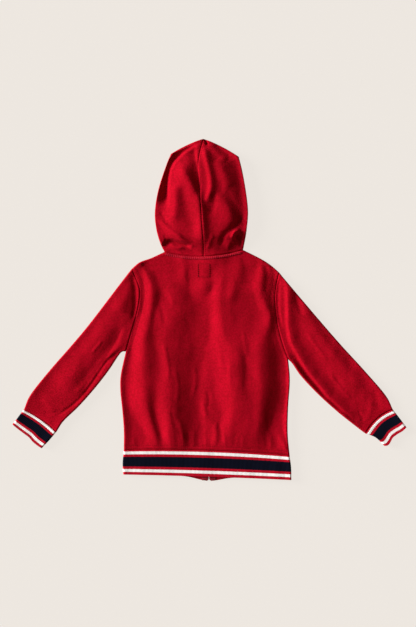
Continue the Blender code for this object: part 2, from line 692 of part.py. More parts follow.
# Pieces that go round together; their walls turn the silhouette's folds as one.
TUBES = (
    ("back", "front_left", "front_right", "hem_band"),
    ("sleeve_left", "cuff_left"),
    ("sleeve_right", "cuff_right"),
    ("hood_left", "hood_right"),
)
CLOTH_RED = material("red fleece", (0.36, 0.004, 0.016), 0.95)
RIB_STRIPED = material("striped rib", (0.30, 0.01, 0.02), 0.95)
ZIP_RED = material("zip tape", (0.28, 0.01, 0.02), 0.8)
METAL = material("zip metal", (0.55, 0.55, 0.56), 0.35, 1.0)


def main():
    for old in list(bpy.data.objects):
        bpy.data.objects.remove(old)
    skin = Skin()
    add_body(skin)
    add_sleeve(skin, left, "left", LEFT_SLEEVE, LEFT_CUFF, LEFT_CUFF_END, LEFT_CUFF_BOW)
    add_sleeve(skin, right, "right", RIGHT_SLEEVE, RIGHT_CUFF, RIGHT_CUFF_END, RIGHT_CUFF_BOW)
    add_hood(skin, left, "left")
    add_hood(skin, right, "right")
    for names in TUBES:
        normals = normals_of(np.array(skin.points), [quad for name in names for quad in skin.quads[name]])
        for name in names:
            ribbed = name.startswith(("hem", "cuff"))
            cloth_piece(name, skin, normals, RIB if ribbed else CLOTH, RIB_STRIPED if ribbed else CLOTH_RED)
    zip_chain(ZIP_RED)
    slider()
    pull_tab()


main()
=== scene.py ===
from collections import namedtuple

import bpy
import numpy as np
from mathutils import Matrix, Vector, noise


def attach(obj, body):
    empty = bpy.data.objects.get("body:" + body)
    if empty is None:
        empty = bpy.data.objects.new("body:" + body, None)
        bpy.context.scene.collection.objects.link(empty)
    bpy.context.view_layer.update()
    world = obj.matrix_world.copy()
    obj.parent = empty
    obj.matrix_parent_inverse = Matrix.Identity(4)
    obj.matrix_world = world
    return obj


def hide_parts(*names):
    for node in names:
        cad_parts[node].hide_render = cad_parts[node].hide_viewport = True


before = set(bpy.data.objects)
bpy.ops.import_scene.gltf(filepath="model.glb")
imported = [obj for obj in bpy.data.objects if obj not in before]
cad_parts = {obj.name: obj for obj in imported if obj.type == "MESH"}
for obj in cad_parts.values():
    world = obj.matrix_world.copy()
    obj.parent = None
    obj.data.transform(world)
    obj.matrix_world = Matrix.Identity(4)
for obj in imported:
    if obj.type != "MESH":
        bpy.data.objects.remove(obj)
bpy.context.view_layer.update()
bpy.ops.object.select_all(action="DESELECT")

# ---------------------------------------------------------------------------------------------
# Back. One panel of brushed sweatshirt fleece, knitted fine and dyed red. It lies on the two
# fronts, folded over at the sides and shoulders, and its spare width falls into soft folds from
# the neck and the armholes down to the hem band.

FLEECE = 0.0020
FLAT = 0.0100  # height of the back above the floor where nothing lifts it
LOWEST = 0.0076  # two layers of cloth and the zip between them
EDGE_SPRING = 0.0015  # a folded edge stands a little higher
SPRING_REACH = 0.0100
FOLD_RADIUS = 0.0028
HOOD_FOLD_RADIUS = 0.0016
UNDER_SHARE = 0.34  # the lower layer lifts off the floor by this much of a crease over it
UNDER_MOST = 0.0100
ZIP_STIFF = 0.0180  # it stays down this far from the zip
ZIP_STIFF_FADE = 0.0250
SETTLING = 0.0012  # how softly the back comes to rest on the lowest height
HOOD_RISE = 0.0150  # height that the hood gains over the back
HOOD_REACH = 0.0430
HOOD_EDGE_SHARE = 0.3  # of that rise, at the hood's own edge
NECK_DROP = 0.0110  # of the back neck seam, below a straight line
HEM_RISE = 0.0045
HOOD_TOP_BOW = 0.0030
LEFT_CUFF_BOW = 0.0035  # of the cuff's seam, towards the sleeve
RIGHT_CUFF_BOW = 0.0070

# The outline and the folds are in millimetres. This part of it is in rows of a point on the left
# of a part and one on its right.
MM = 0.001
Across = namedtuple("Across", "left_x left_y right_x right_y")
TORSO = (
    Across(-170, -279, 161, -290),
    Across(-170, -240, 157, -244),
    Across(-173, -200, 158, -192),
    Across(-177, -160, 161, -152),
    Across(-176, -128, 161, -128),
    Across(-166, -82, 158, -98),
)
ARMHOLE = (
    Across(-166, -82, 158, -98),
    Across(-155, -44, 146, -64),
    Across(-145, -10, 137, -28),
    Across(-139, 20, 132, 12),
    Across(-139, 45, 133, 44),
    Across(-154, 83, 140, 75.5),
)
SHOULDER = (
    Across(-154, 83, 140, 75.5),
    Across(-138, 96, 122, 91),
    Across(-116, 104, 101, 104),
    Across(-89, 116.5, 68, 120.5),
)
BAND_SIDES = (
    Across(-170, -279, 161, -290),
    Across(-172.5, -306, 164, -314),
    Across(-171, -327.5, 164.5, -338.5),
)
HOOD_SIDES = (
    Across(-89, 116.5, 68, 120.5),
    Across(-97, 133, 71, 135),
    Across(-105, 161, 75, 159),
    Across(-108, 196, 78, 196),
    Across(-101, 241, 74, 235),
    Across(-86, 288, 67, 275),
    Across(-76, 312, 59.5, 306),
)
HOOD_SEAM = (
    (-11, 107.5), (-11, 133), (-15, 187), (-19, 243), (-21, 297), (-11, 342),
)
HOOD_TOP = np.array(HOOD_SEAM[-1]) * MM

# The sleeves and cuffs, in rows of a point on the outer and one on the inner side of the arm.
Along = namedtuple("Along", "outer_x outer_y inner_x inner_y")
LEFT_SLEEVE = (
    Along(-154, 83, -166, -82),
    Along(-172, 60, -177, -86),
    Along(-236, -24, -200, -120),
    Along(-276, -72, -228, -156),
    Along(-318, -120, -260, -192),
    Along(-356, -168, -290, -221),
    Along(-369, -197, -304, -242),
)
LEFT_CUFF = (
    Along(-369, -197, -304, -242),
    Along(-381, -213, -317, -257.5),
    Along(-392, -227.5, -333.5, -275.2),
)
RIGHT_SLEEVE = (
    Along(140, 75.5, 158, -98),
    Along(156, 56, 167, -107.5),
    Along(224, -24, 184, -132),
    Along(266, -72, 218, -168),
    Along(310, -120, 258, -204),
    Along(352, -169, 296, -234),
    Along(367, -198, 312, -246),
)
RIGHT_CUFF = (
    Along(367, -198, 312, -246),
    Along(381, -216, 332.5, -254),
    Along(394, -233.3, 350, -270.7),
)

# The free end of each cuff, from the inner side of the arm to the outer one.
LEFT_CUFF_END = (
    (-333.5, -275.2), (-341, -270.5), (-350.8, -262.7), (-359.4, -253), (-369.4, -245.5),
    (-380.8, -236.9), (-392, -227.5),
)
RIGHT_CUFF_END = (
    (350, -270.7), (356, -269.4), (359.8, -266), (363.2, -260), (367.2, -253.5), (376.8, -246.3),
    (385.4, -241.3), (394, -233.3),
)

# A fold stands above the cloth round it, or is sunk below it if its height is negative. It falls
# away over one reach on its left and another on its right, and fades out at its ends.
Fold = namedtuple("Fold", "height left right path")
FOLDS = (
    # back: from the neck and the shoulders
    Fold(1.8, 11, 8, ((-54, 112), (-50, 92), (-50, 72), (-43, 52), (-40, 42))),
    Fold(2, 11, 12, ((66, 108), (62, 90), (58, 70), (52, 50), (45, 30), (43, 12))),
    Fold(-0.9, 6, 6, ((-37, 86), (-40, 70), (-34, 52), (-32, 40))),
    Fold(-1.3, 7, 6, ((88, 98), (90, 86), (86, 74))),
    Fold(1.2, 6, 5, ((94, 100), (101, 92), (106, 80))),
    Fold(-1.6, 6, 6, ((112, 90), (116, 74), (114, 52), (112, 34))),
    Fold(1, 4, 4, ((112, 97), (119, 88), (122, 76))),
    Fold(-1.4, 4, 4, ((-132, 92), (-124, 84), (-112, 84))),
    Fold(0.9, 4, 5, ((-88, 44), (-76, 28), (-70, 10))),
    Fold(-0.8, 4, 4, ((-100, 14), (-92, -4), (-88, -30))),
    # back: slighter ones down the middle and the sides
    Fold(1, 4, 3, ((-90, -68), (-84, -92), (-80, -118), (-82, -140))),
    Fold(0.8, 4, 4, ((-66, -120), (-62, -150), (-64, -185))),
    Fold(-0.9, 3, 4, ((-74, -196), (-72, -214), (-66, -236))),
    Fold(1, 4, 4, ((-60, -215), (-54, -240), (-48, -262))),
    Fold(0.9, 4, 3, ((-30, -112), (-26, -140), (-32, -170))),
    Fold(-1, 3, 3, ((-2, -160), (0, -178), (-2, -196))),
    Fold(0.9, 3, 3, ((-14, -176), (-10, -196), (-4, -214))),
    Fold(1.5, 5, 4, ((12, -226), (14, -246), (12, -268))),
    Fold(-1.1, 4, 4, ((20, -222), (24, -244), (26, -262))),
    Fold(0.8, 4, 4, ((68, -40), (72, -66), (76, -90))),
    Fold(-0.8, 5, 5, ((72, -84), (74, -120), (72, -160))),
    Fold(0.9, 4, 6, ((44, -96), (40, -130), (44, -160))),
    Fold(0.8, 4, 4, ((18, -60), (24, -96), (30, -130))),
    Fold(-0.7, 3, 3, ((118, -196), (116, -222), (120, -244))),
    # back: puckers over the hem band
    Fold(0.6, 3, 3, ((-150, -252), (-148, -272))),
    Fold(-0.7, 3, 3, ((-66, -246), (-62, -272))),
    Fold(0.7, 3, 3, ((-54, -244), (-50, -272))),
    Fold(-0.7, 3, 3, ((-42, -240), (-40, -272))),
    Fold(0.7, 3, 2.5, ((-30, -240), (-30, -272))),
    Fold(-0.7, 3, 3, ((-22, -236), (-20, -272))),
    Fold(0.8, 3, 3, ((-8, -240), (-6, -272))),
    Fold(-0.7, 2.5, 2.5, ((4, -252), (2, -272))),
    Fold(0.7, 3, 3, ((30, -244), (32, -272))),
    Fold(-0.6, 3, 3, ((52, -248), (50, -272))),
    Fold(0.5, 3, 3, ((68, -250), (68, -272))),
    Fold(-0.7, 3, 3, ((112, -240), (116, -274))),
    Fold(0.8, 3, 3, ((124, -246), (124, -276))),
    Fold(1.3, 4, 3, ((132, -222), (136, -240), (146, -262), (156, -280))),
    Fold(-1.4, 3, 3, ((146, -226), (150, -246), (156, -268))),
    Fold(-0.8, 2.5, 2.5, ((132, -252), (138, -276))),
    # left sleeve
    Fold(-2.6, 5, 4, ((-152, 72), (-147, 40), (-147, 10), (-152, -20))),
    Fold(4.6, 22, 36, ((-168, 49), (-184, 0), (-214, -50), (-250, -98), (-280, -140), (-300, -170))),
    Fold(2.2, 14, 12, ((-158, 58), (-170, 20), (-182, -6))),
    Fold(-2.6, 16, 5, ((-172, -30), (-188, -66), (-212, -100), (-236, -134), (-256, -160))),
    Fold(1.6, 7, 6, ((-168, -64), (-192, -82), (-214, -102), (-231, -128), (-250, -151), (-272, -172))),
    Fold(-1.2, 5, 5, ((-182, -88), (-192, -98))),
    Fold(-1.6, 3, 3, (
        (-172, -78), (-200, -98), (-220, -126), (-240, -155), (-259, -178), (-282, -197), (-306, -212),
    )),
    Fold(1, 3, 3, ((-214, -62), (-232, -84))),
    Fold(-0.8, 4, 4, ((-296, -202), (-316, -206), (-330, -204))),
    Fold(0.7, 5, 5, ((-330, -176), (-318, -192), (-306, -204))),
    # right sleeve
    Fold(-2.6, 4, 3.5, ((140, 62), (137, 30), (138, -5), (144, -36))),
    Fold(5.2, 4.5, 15, (
        (150, 74), (156, 50), (158, 0), (158, -35), (163, -58), (169, -74), (179, -91), (189, -108),
        (203, -129.5), (221, -149.5), (233, -167), (252, -184), (270, -198), (292, -215),
    )),
    Fold(3.8, 1, 6, ((160, -98), (168, -107), (185, -131), (219, -167), (259, -203), (290, -228))),
    Fold(-3.6, 7, 3, (
        (158, -90), (174, -93), (184, -110), (199, -132), (214, -150), (228, -167), (246, -184),
        (266, -201),
    )),
    Fold(-1.6, 5, 7, ((170, 46), (178, 10), (186, -10))),
    Fold(3.4, 24, 13, ((176, 20), (192, -8), (220, -52), (251, -95), (282, -132), (308, -160))),
    Fold(-1.8, 10, 6, ((200, 14), (218, -16), (250, -56), (287, -99), (322, -137))),
    Fold(0.9, 4, 4, ((196, -44), (214, -72), (236, -100))),
    Fold(0.9, 4, 4, ((240, -126), (262, -152), (282, -176))),
    Fold(-0.9, 4, 4, ((250, -134), (274, -164))),
    Fold(-1, 7, 6, ((330, -160), (334, -180), (344, -198))),
    Fold(0.9, 6, 6, ((322, -178), (322, -200), (314, -218))),
    Fold(-0.8, 4, 4, ((298, -200), (308, -222))),
    # hood: the lip along its left edge, and the folds down its left half
    Fold(-9.5, 12, 4, (
        (-24, 332), (-45, 321), (-60, 309), (-70, 299), (-78, 284), (-82.5, 266), (-84.5, 248),
        (-85, 228), (-84.5, 206),
    )),
    Fold(5, 1, 12, (
        (-30, 331.8), (-50, 322.4), (-74, 310.2), (-84.6, 288), (-99.6, 241), (-105.5, 212),
    )),
    Fold(6.6, 14, 10, (
        (-60, 291), (-44, 264), (-30, 240), (-21, 219), (-15, 186), (-12, 152), (-12, 128),
    )),
    Fold(-1.2, 10, 10, ((-56, 244), (-51, 226), (-46, 205), (-38, 180), (-26, 155))),
    Fold(3, 9, 12, ((-69, 250), (-66, 226), (-66, 202), (-70, 178))),
    Fold(3.4, 3.5, 4.5, ((-102, 180), (-93, 174), (-78, 159), (-60, 146), (-49, 137), (-32, 129))),
    Fold(-9.5, 3.5, 4.5, (
        (-101, 112), (-94, 121), (-86, 132), (-77, 137), (-64, 133), (-48, 129), (-34, 127),
    )),
    Fold(2.6, 4, 3, ((-76, 128), (-62, 124), (-44, 128), (-28, 128))),
    Fold(-1.6, 4, 4, ((-96, 196), (-90, 186), (-84, 178))),
    # hood: along the seam and down its right half
    Fold(-3.8, 10, 3, ((-30, 326), (-27, 300), (-23, 270), (-20, 244), (-19, 222))),
    Fold(5, 5, 8, ((-10, 325), (-5, 300), (0, 278), (3.5, 255), (2.5, 236), (-6, 212))),
    Fold(-7, 2.2, 2.2, ((-10, 342), (-6, 336), (-4, 329))),
    Fold(2, 6, 7, ((-1, 328), (15, 314), (35, 296))),
    Fold(-1.8, 5, 5, ((12, 330), (28, 318), (44, 306))),
    Fold(2.4, 13, 11, ((14, 300), (26, 280), (36, 262), (44, 244))),
    Fold(-1.8, 12, 7, ((34, 238), (46, 216), (57, 198), (66, 180))),
    Fold(2.3, 15, 9, ((14, 230), (28, 216), (39, 200), (47, 182), (50, 168))),
    Fold(-2, 8, 6, ((8, 236), (10, 214), (4, 190))),
    Fold(1.8, 6, 1, (
        (34, 320.5), (57.5, 307.5), (65.5, 275), (72.8, 235), (76.8, 196), (73.8, 159), (69.8, 135),
    )),
    Fold(-1, 9, 6, ((56, 292), (62, 270), (68, 240))),
    Fold(-4, 6, 5, ((66, 190), (60, 176), (46, 162), (30, 148), (24, 128))),
    Fold(5.2, 3.5, 3.5, ((46, 142), (48, 150), (54, 157), (61, 156))),
    Fold(-8.5, 2.6, 2.8, ((54, 150), (59, 142), (64, 132), (66, 127))),
    Fold(2.6, 5, 4, ((36, 122), (44, 136), (52, 132))),
    Fold(1.6, 4, 4, ((8, 150), (2, 136), (-2, 122))),
)

# The creases of the back from the neck to the hem, as (x, y, rise over the flat back) in
# millimetres. From left to right they are ridges and troughs in turn, and the cloth passes smoothly
# from each to the next.
CREASES = (
    # the trough beside the left armhole and side
    (
        (-134, 80, -0.5), (-132, 40, -1.4), (-134, 5, -1.3), (-148, -32, -0.8), (-156, -75, -1),
        (-161, -112, -1.1), (-167, -155, -1), (-163, -190, -1.4), (-149, -222, -2.9),
        (-133, -250, -3.2), (-130, -282, 0),
    ),
    # the ridge beside it
    (
        (-134, 92, -1.6), (-126, 75, 1.9), (-115, 52, 4.5), (-113, 30, 6.4), (-115, 5, 5.4),
        (-122, -30, 7), (-128, -55, 8.6), (-129, -90, 10.9), (-128, -125, 10.6), (-127, -165, 12.5),
        (-123, -193, 11.2), (-118, -212, 9), (-112, -235, 6.1), (-106, -254, 4.2), (-100, -282, 0),
    ),
    (
        (-110, 92, -4.8), (-106, 75, -1.9), (-98, 52, 1.3), (-94, 30, 1.9), (-102, 5, 3),
        (-109, -30, 4.2), (-108, -52, 4.5), (-100, -90, 6.7), (-97, -120, 6.2), (-103, -150, 8.3),
        (-108, -175, 8.6), (-108, -195, 7.4), (-105, -215, 4.8), (-100, -235, 2.6), (-95, -254, 1.6),
        (-88, -282, 0),
    ),
    (
        (-98, 92, -4.5), (-82, 70, -2.6), (-78, 50, 1.9), (-66, 30, 4.6), (-62, 5, 3.7),
        (-80, -30, 5.3), (-86, -55, 6.2), (-85, -90, 8.6), (-83, -120, 8), (-82, -150, 10.6),
        (-84, -175, 12.2), (-80, -200, 12.5), (-80, -225, 10.9), (-79, -250, 9), (-74, -266, 5.4),
        (-72, -282, 0),
    ),
    # the trough down the middle
    (
        (-36, 92, -1.3), (-34, 70, -1.9), (-28, 50, -3.8), (-25, 30, -2.6), (-14, 8, -2.9),
        (-10, -15, -3.8), (-10, -50, -4.2), (-12, -90, -2.2), (-18, -130, -1.3), (-20, -170, 0.6),
        (-20, -210, -0.3), (-15, -250, -2.2), (-14, -282, 0),
    ),
    (
        (-6, 92, 3.5), (-6, 70, 1.3), (0, 50, -0.3), (-6, 30, -1), (-5, 8, -2.1), (-3, -15, -3.2),
        (-2, -50, -3.5), (-4, -90, -1), (-4, -130, 0.2), (-5, -170, 1.8), (-4, -210, 2.1),
        (-6, -250, -0.8), (0, -282, 0),
    ),
    (
        (8, 92, 4), (5, 70, 0.5), (6, 50, 0.3), (0, 30, 0), (1, 8, -1), (1, -15, -2.1), (3, -50, -1.9),
        (5, -90, 0.3), (6, -130, 0.6), (9, -170, 1.6), (22, -210, 2.6), (20, -250, 3), (20, -282, 0),
    ),
    # the broad ridge right of it
    (
        (20, 92, 3.2), (30, 70, 3.5), (26, 50, 4.3), (23, 30, 6.7), (25, 8, 6.7), (27, -15, 6.7),
        (32, -50, 7.4), (50, -75, 10.6), (55, -100, 11.5), (57, -130, 12.2), (56, -160, 12.8),
        (54, -190, 12.3), (50, -212, 10.1), (46, -235, 7.8), (42, -254, 5.4), (40, -282, 0),
    ),
    (
        (94, 92, -5.1), (90, 70, -0.3), (84, 50, 0.6), (88, 30, 1.8), (95, 8, 1.3), (101, -15, 1),
        (98, -32, 2.9), (84, -52, 4.8), (82, -75, 8), (82, -100, 8.5), (82, -130, 8.6), (84, -160, 9.9),
        (88, -190, 9.9), (88, -212, 8.3), (86, -235, 7), (84, -254, 5.4), (84, -282, 0),
    ),
    # the ridge from the right shoulder
    (
        (108, 92, -2.2), (106, 70, 3.5), (104, 50, 5.4), (104, 30, 5.6), (113, 8, 5), (120, -12, 3.8),
        (116, -32, 4.2), (107, -52, 5.9), (101, -75, 9.9), (100, -100, 10.4), (101, -130, 10.2),
        (102, -160, 10.9), (99, -190, 10.4), (98, -212, 8.6), (96, -235, 6.7), (95, -254, 4.8),
        (94, -282, 0),
    ),
    # the hollow down the right side
    (
        (124, 92, -3.8), (130, 70, -1.6), (130, 50, -1.1), (129, 30, -1), (131, 8, -0.5),
        (134, -15, -0.6), (136, -50, -1.4), (143, -75, -1.6), (149, -100, -3.5), (151, -130, -3.8),
        (151, -165, -3.7), (146, -190, -4.2), (140, -212, -4.8), (134, -235, -4.8), (132, -254, -2.6),
        (132, -282, 0),
    ),
)
RIGHT_SIDE_RISE = 0.0012
SIDE_TOP, SIDE_FOOT, SIDE_FADE = -0.080, -0.285, 0.020


def left(rows):
    return [(r.left_x * MM, r.left_y * MM) for r in rows]


def right(rows):
    return [(r.right_x * MM, r.right_y * MM) for r in rows]


def outer(rows):
    return [(r.outer_x * MM, r.outer_y * MM) for r in rows]


def inner(rows):
    return [(r.inner_x * MM, r.inner_y * MM) for r in rows]


def curve(points, shares, steps=12):
    """Points at these shares of the length of a smooth curve through the given ones."""
    p = np.array(points, float)
    if len(p) > 2:
        q = np.vstack([2 * p[0] - p[1], p, 2 * p[-1] - p[-2]])
        t = np.linspace(0, 1, steps, endpoint=False)[:, None]
        spans = [
            q[i]
            + t * (q[i + 1] - q[i - 1]) / 2
            + t**2 * (q[i - 1] - 2.5 * q[i] + 2 * q[i + 1] - q[i + 2] / 2)
            + t**3 * (1.5 * (q[i] - q[i + 1]) + (q[i + 2] - q[i - 1]) / 2)
            for i in range(1, len(p))
        ]
        p = np.vstack([*spans, p[-1:]])
    return at_shares(p, shares)


def run_of(sizes):
    """How far along a line each of its points is, from the lengths of its spans."""
    return np.concatenate([[0], np.cumsum(sizes)])


def spans_of(line):
    return np.linalg.norm(np.diff(line, axis=0), axis=1)


def at_shares(points, shares):
    """Points at these shares of the length of a line of straight spans."""
    run = run_of(spans_of(points))
    along = np.array(shares) * run[-1]
    return np.stack([np.interp(along, run, column) for column in points.T], axis=1)


def bowed(start, end, shares, bow):
    """A shallow bow between two points, its middle moved by the vector bow."""
    s = np.array(shares)[:, None]
    return (1 - s) * np.array(start) + s * np.array(end) + 4 * s * (1 - s) * np.array(bow)


def joined(*stretches):
    """Several stretches end to end, without their doubled points."""
    return np.vstack([stretches[0], *[s[1:] for s in stretches[1:]]])


SIDE_LEAN = 0.25  # below a line counts as left of it, and above it as right


def nearest(points, line):
    """From each point to a line of straight spans: how far it is, which side it is on (below 0 on
    the left) and how far along the line, from 0 to 1."""
    steps = np.diff(line, axis=0)
    sizes = spans_of(line)
    run = run_of(sizes)
    gap, side, along = np.full(len(points), np.inf), np.zeros(len(points)), np.zeros(len(points))
    for start, step, size, before in zip(line, steps, sizes, run):
        t = np.clip((points - start) @ step / size**2, 0, 1)
        away = points - start - t[:, None] * step
        far = np.hypot(away[:, 0], away[:, 1])
        closer = far < gap
        gap = np.where(closer, far, gap)
        side = np.where(closer, away[:, 0] + SIDE_LEAN * away[:, 1], side)
        along = np.where(closer, (before + t * size) / run[-1], along)
    return gap, side, along


def across_creases(points):
    """How far the back rises over its flat height, between the creases and its two sides."""
    y = points[:, 1]
    spots, rises = [], []
    for side, rise in ((left, 0), (right, RIGHT_SIDE_RISE)):
        line = joined(curve(side(TORSO), EVEN), curve(side(ARMHOLE), EVEN), curve(side(SHOULDER), EVEN))
        spots.append(np.interp(y, line[:, 1], line[:, 0]))
        rises.append(rise * smooth((SIDE_TOP - y) / SIDE_FADE) * smooth((y - SIDE_FOOT) / SIDE_FADE))
    for crease in CREASES:
        line = curve(np.array(crease) * MM, EVEN)[::-1]
        spots.insert(-1, np.interp(y, line[:, 1], line[:, 0]))
        rises.insert(-1, np.interp(y, line[:, 1], line[:, 2]))
    spots = np.maximum.accumulate(np.array(spots)) + np.arange(len(spots))[:, None] * 1e-5
    rises = np.array(rises)
    slopes = np.diff(rises, axis=0) / np.diff(spots, axis=0)
    before, after = slopes[:-1], slopes[1:]
    agree = before * after > 0
    middle = np.where(agree, 2 * before * after / np.where(agree, before + after, 1), 0)
    lean = np.vstack([slopes[:1], middle, slopes[-1:]])
    out = np.zeros(len(points))
    for i in range(len(slopes)):
        wide = spots[i + 1] - spots[i]
        t = (points[:, 0] - spots[i]) / wide
        bend = (2 * t**3 - 3 * t**2 + 1) * rises[i] + (t**3 - 2 * t**2 + t) * wide * lean[i]
        bend += (3 * t**2 - 2 * t**3) * rises[i + 1] + (t**3 - t**2) * wide * lean[i + 1]
        out = np.where((t >= 0) & (t <= 1), bend, out)
    return out * (1 - over_neck(points))


def smooth(t):
    t = np.clip(t, 0, 1)
    return t * t * (3 - 2 * t)


def bell(away, reach):
    return np.exp(-((away / reach) ** 2))


EVEN = np.linspace(0, 1, 61)
LEFT_NECK, RIGHT_NECK = left(SHOULDER)[-1], right(SHOULDER)[-1]


def hood_top_edge(side, shares):
    """The hood's upper edge, from the top of its seam to its left or right corner."""
    return bowed(HOOD_TOP, side(HOOD_SIDES)[-1], shares, (0, HOOD_TOP_BOW))


def back_neck(shares):
    return bowed(LEFT_NECK, RIGHT_NECK, shares, (0, -NECK_DROP))


def hem_seam(shares):
    return bowed(left(TORSO)[0], right(TORSO)[0], shares, (0, HEM_RISE))


def cuff_seam(sleeve, cuff, bow, shares):
    lean = np.array(outer(sleeve)[-2]) - np.array(outer(cuff)[-1])
    return bowed(inner(cuff)[0], outer(cuff)[0], shares, lean / np.linalg.norm(lean) * bow)


SILHOUETTE = (
    joined(
        curve(outer(LEFT_CUFF), EVEN)[::-1],
        curve(outer(LEFT_SLEEVE), EVEN)[::-1],
        curve(left(SHOULDER), EVEN),
        curve(left(HOOD_SIDES), EVEN),
        hood_top_edge(left, EVEN)[::-1],
        hood_top_edge(right, EVEN),
        curve(right(HOOD_SIDES), EVEN)[::-1],
        curve(right(SHOULDER), EVEN)[::-1],
        curve(outer(RIGHT_SLEEVE), EVEN),
        curve(outer(RIGHT_CUFF), EVEN),
    ),
    joined(
        curve(inner(LEFT_CUFF), EVEN)[::-1],
        curve(inner(LEFT_SLEEVE), EVEN)[::-1],
        curve(left(TORSO), EVEN)[::-1],
        curve(left(BAND_SIDES), EVEN),
    ),
    joined(
        curve(inner(RIGHT_CUFF), EVEN)[::-1],
        curve(inner(RIGHT_SLEEVE), EVEN)[::-1],
        curve(right(TORSO), EVEN)[::-1],
        curve(right(BAND_SIDES), EVEN),
    ),
)

# The sewn seams, and how far beside them the rows of topstitching run (above 0 on their left).
# Both draw the cloth down into a groove.
SEAMS = {
    "left armhole": curve(left(ARMHOLE), EVEN),
    "right armhole": curve(right(ARMHOLE), EVEN),
    "neck": back_neck(EVEN),
    "hood": curve(np.array(HOOD_SEAM) * MM, EVEN),
    "hem": hem_seam(EVEN),
    "left cuff": cuff_seam(LEFT_SLEEVE, LEFT_CUFF, LEFT_CUFF_BOW, EVEN),
    "right cuff": cuff_seam(RIGHT_SLEEVE, RIGHT_CUFF, RIGHT_CUFF_BOW, EVEN),
}
NECK_BAND = 0.0011  # the coverstitched roll just under the neck seam
NECK_BAND_OFFSET = -0.0036
NECK_BAND_REACH = 0.0024
SEAM_DEPTH = 0.0018
SEAM_REACH = 0.0012
Row = namedtuple("Row", "seam offset")
TOPSTITCHING = (
    Row("left armhole", -0.0022), Row("left armhole", -0.0082),
    Row("right armhole", 0.0022), Row("right armhole", 0.0082),
    Row("neck", -0.0012), Row("neck", -0.0060),
    Row("hem", 0.0026), Row("hem", 0.0088),
    Row("left cuff", 0.0026), Row("left cuff", 0.0082),
    Row("right cuff", -0.0026), Row("right cuff", -0.0082),
    Row("hood", 0.0028), Row("hood", -0.0028),
)
STITCH_DEPTH = 0.0005
STITCH_REACH = 0.0011


def beside(line, offset):
    """A line moved sideways, to its left if the offset is above 0, and trimmed at its ends."""
    run = np.gradient(line, axis=0)
    across = np.stack([-run[:, 1], run[:, 0]], axis=1) / np.linalg.norm(run, axis=1)[:, None]
    return (line + across * offset)[1:-1]


NECK_ROLL = beside(SEAMS["neck"], NECK_BAND_OFFSET)
ROWS = [beside(SEAMS[row.seam], row.offset) for row in TOPSTITCHING]

ZIP_FOOT = Vector((0.0000, -0.3395))
ZIP_TOP = Vector((-0.0090, 0.0520))
ZIP_LIFT = 0.0041  # the cloth rides up over the slider
ZIP_LIFT_REACH = 0.0200
ZIP_LIFT_ABOVE = 1.5  # times as much for the upper layer
SLIDER_FOOT = -0.0080


def zip_lift(points):
    slider = ZIP_TOP + (ZIP_TOP - ZIP_FOOT).normalized() * SLIDER_FOOT / 2
    return ZIP_LIFT * bell(np.linalg.norm(points - np.array(slider), axis=1), ZIP_LIFT_REACH)


ON_EDGE = 0.00012  # points as near the silhouette as this are on it


def from_edge(points):
    """In from the silhouette, counting points on its drawn curve as on it."""
    return np.maximum(np.min([nearest(points, line)[0] for line in SILHOUETTE], axis=0) - ON_EDGE, 0)


def over_neck(points):
    """0 on the body and 1 well up the hood."""
    share = (points[:, 0] - LEFT_NECK[0]) / (RIGHT_NECK[0] - LEFT_NECK[0])
    seam = LEFT_NECK[1] + share * (RIGHT_NECK[1] - LEFT_NECK[1]) - 4 * NECK_DROP * share * (1 - share)
    return smooth((points[:, 1] - seam) / HOOD_REACH)


Wave = namedtuple("Wave", "height across down seed")
WAVES = (Wave(0.0010, 26, 12, 3.0), Wave(0.0005, 62, 38, 7.0))


def slack(points):
    """Small uneven waves in loose cloth, longer down the body than across it."""
    return np.array([
        sum(w.height * noise.noise(Vector((x * w.across, y * w.down, w.seed))) for w in WAVES)
        for x, y in points
    ])


FADE = 0.2  # of a fold's length, over which it fades out
END_SHARE = 0.25


def creased(points):
    """How far the creases and the folds lift the upper layer."""
    rise = across_creases(points)
    for fold in FOLDS:
        away, side, along = nearest(points, curve(np.array(fold.path) * MM, EVEN[::6]))
        reach = np.where(side < 0, fold.left, fold.right) * MM
        fading = smooth(np.minimum(along, 1 - along) / FADE + END_SHARE)
        rise += fold.height * MM * bell(away, reach) * fading
    return rise


def height(points, edge, rise):
    """Of the upper layer's outer face, where it isn't turning over at the silhouette."""
    tall = FLAT + EDGE_SPRING * bell(edge, SPRING_REACH) + slack(points) + rise
    inward = HOOD_EDGE_SHARE + (1 - HOOD_EDGE_SHARE) * smooth(edge / HOOD_REACH)
    tall += HOOD_RISE * over_neck(points) * inward
    tall += NECK_BAND * bell(nearest(points, NECK_ROLL)[0], NECK_BAND_REACH)
    lowest = LOWEST + ZIP_LIFT_ABOVE * zip_lift(points)
    spare = tall - lowest
    tall = lowest + 0.5 * (spare + np.sqrt(spare**2 + SETTLING**2))
    for line in SEAMS.values():
        tall -= SEAM_DEPTH * bell(nearest(points, line)[0], SEAM_REACH)
    for line in ROWS:
        tall -= STITCH_DEPTH * bell(nearest(points, line)[0], STITCH_REACH)
    return tall


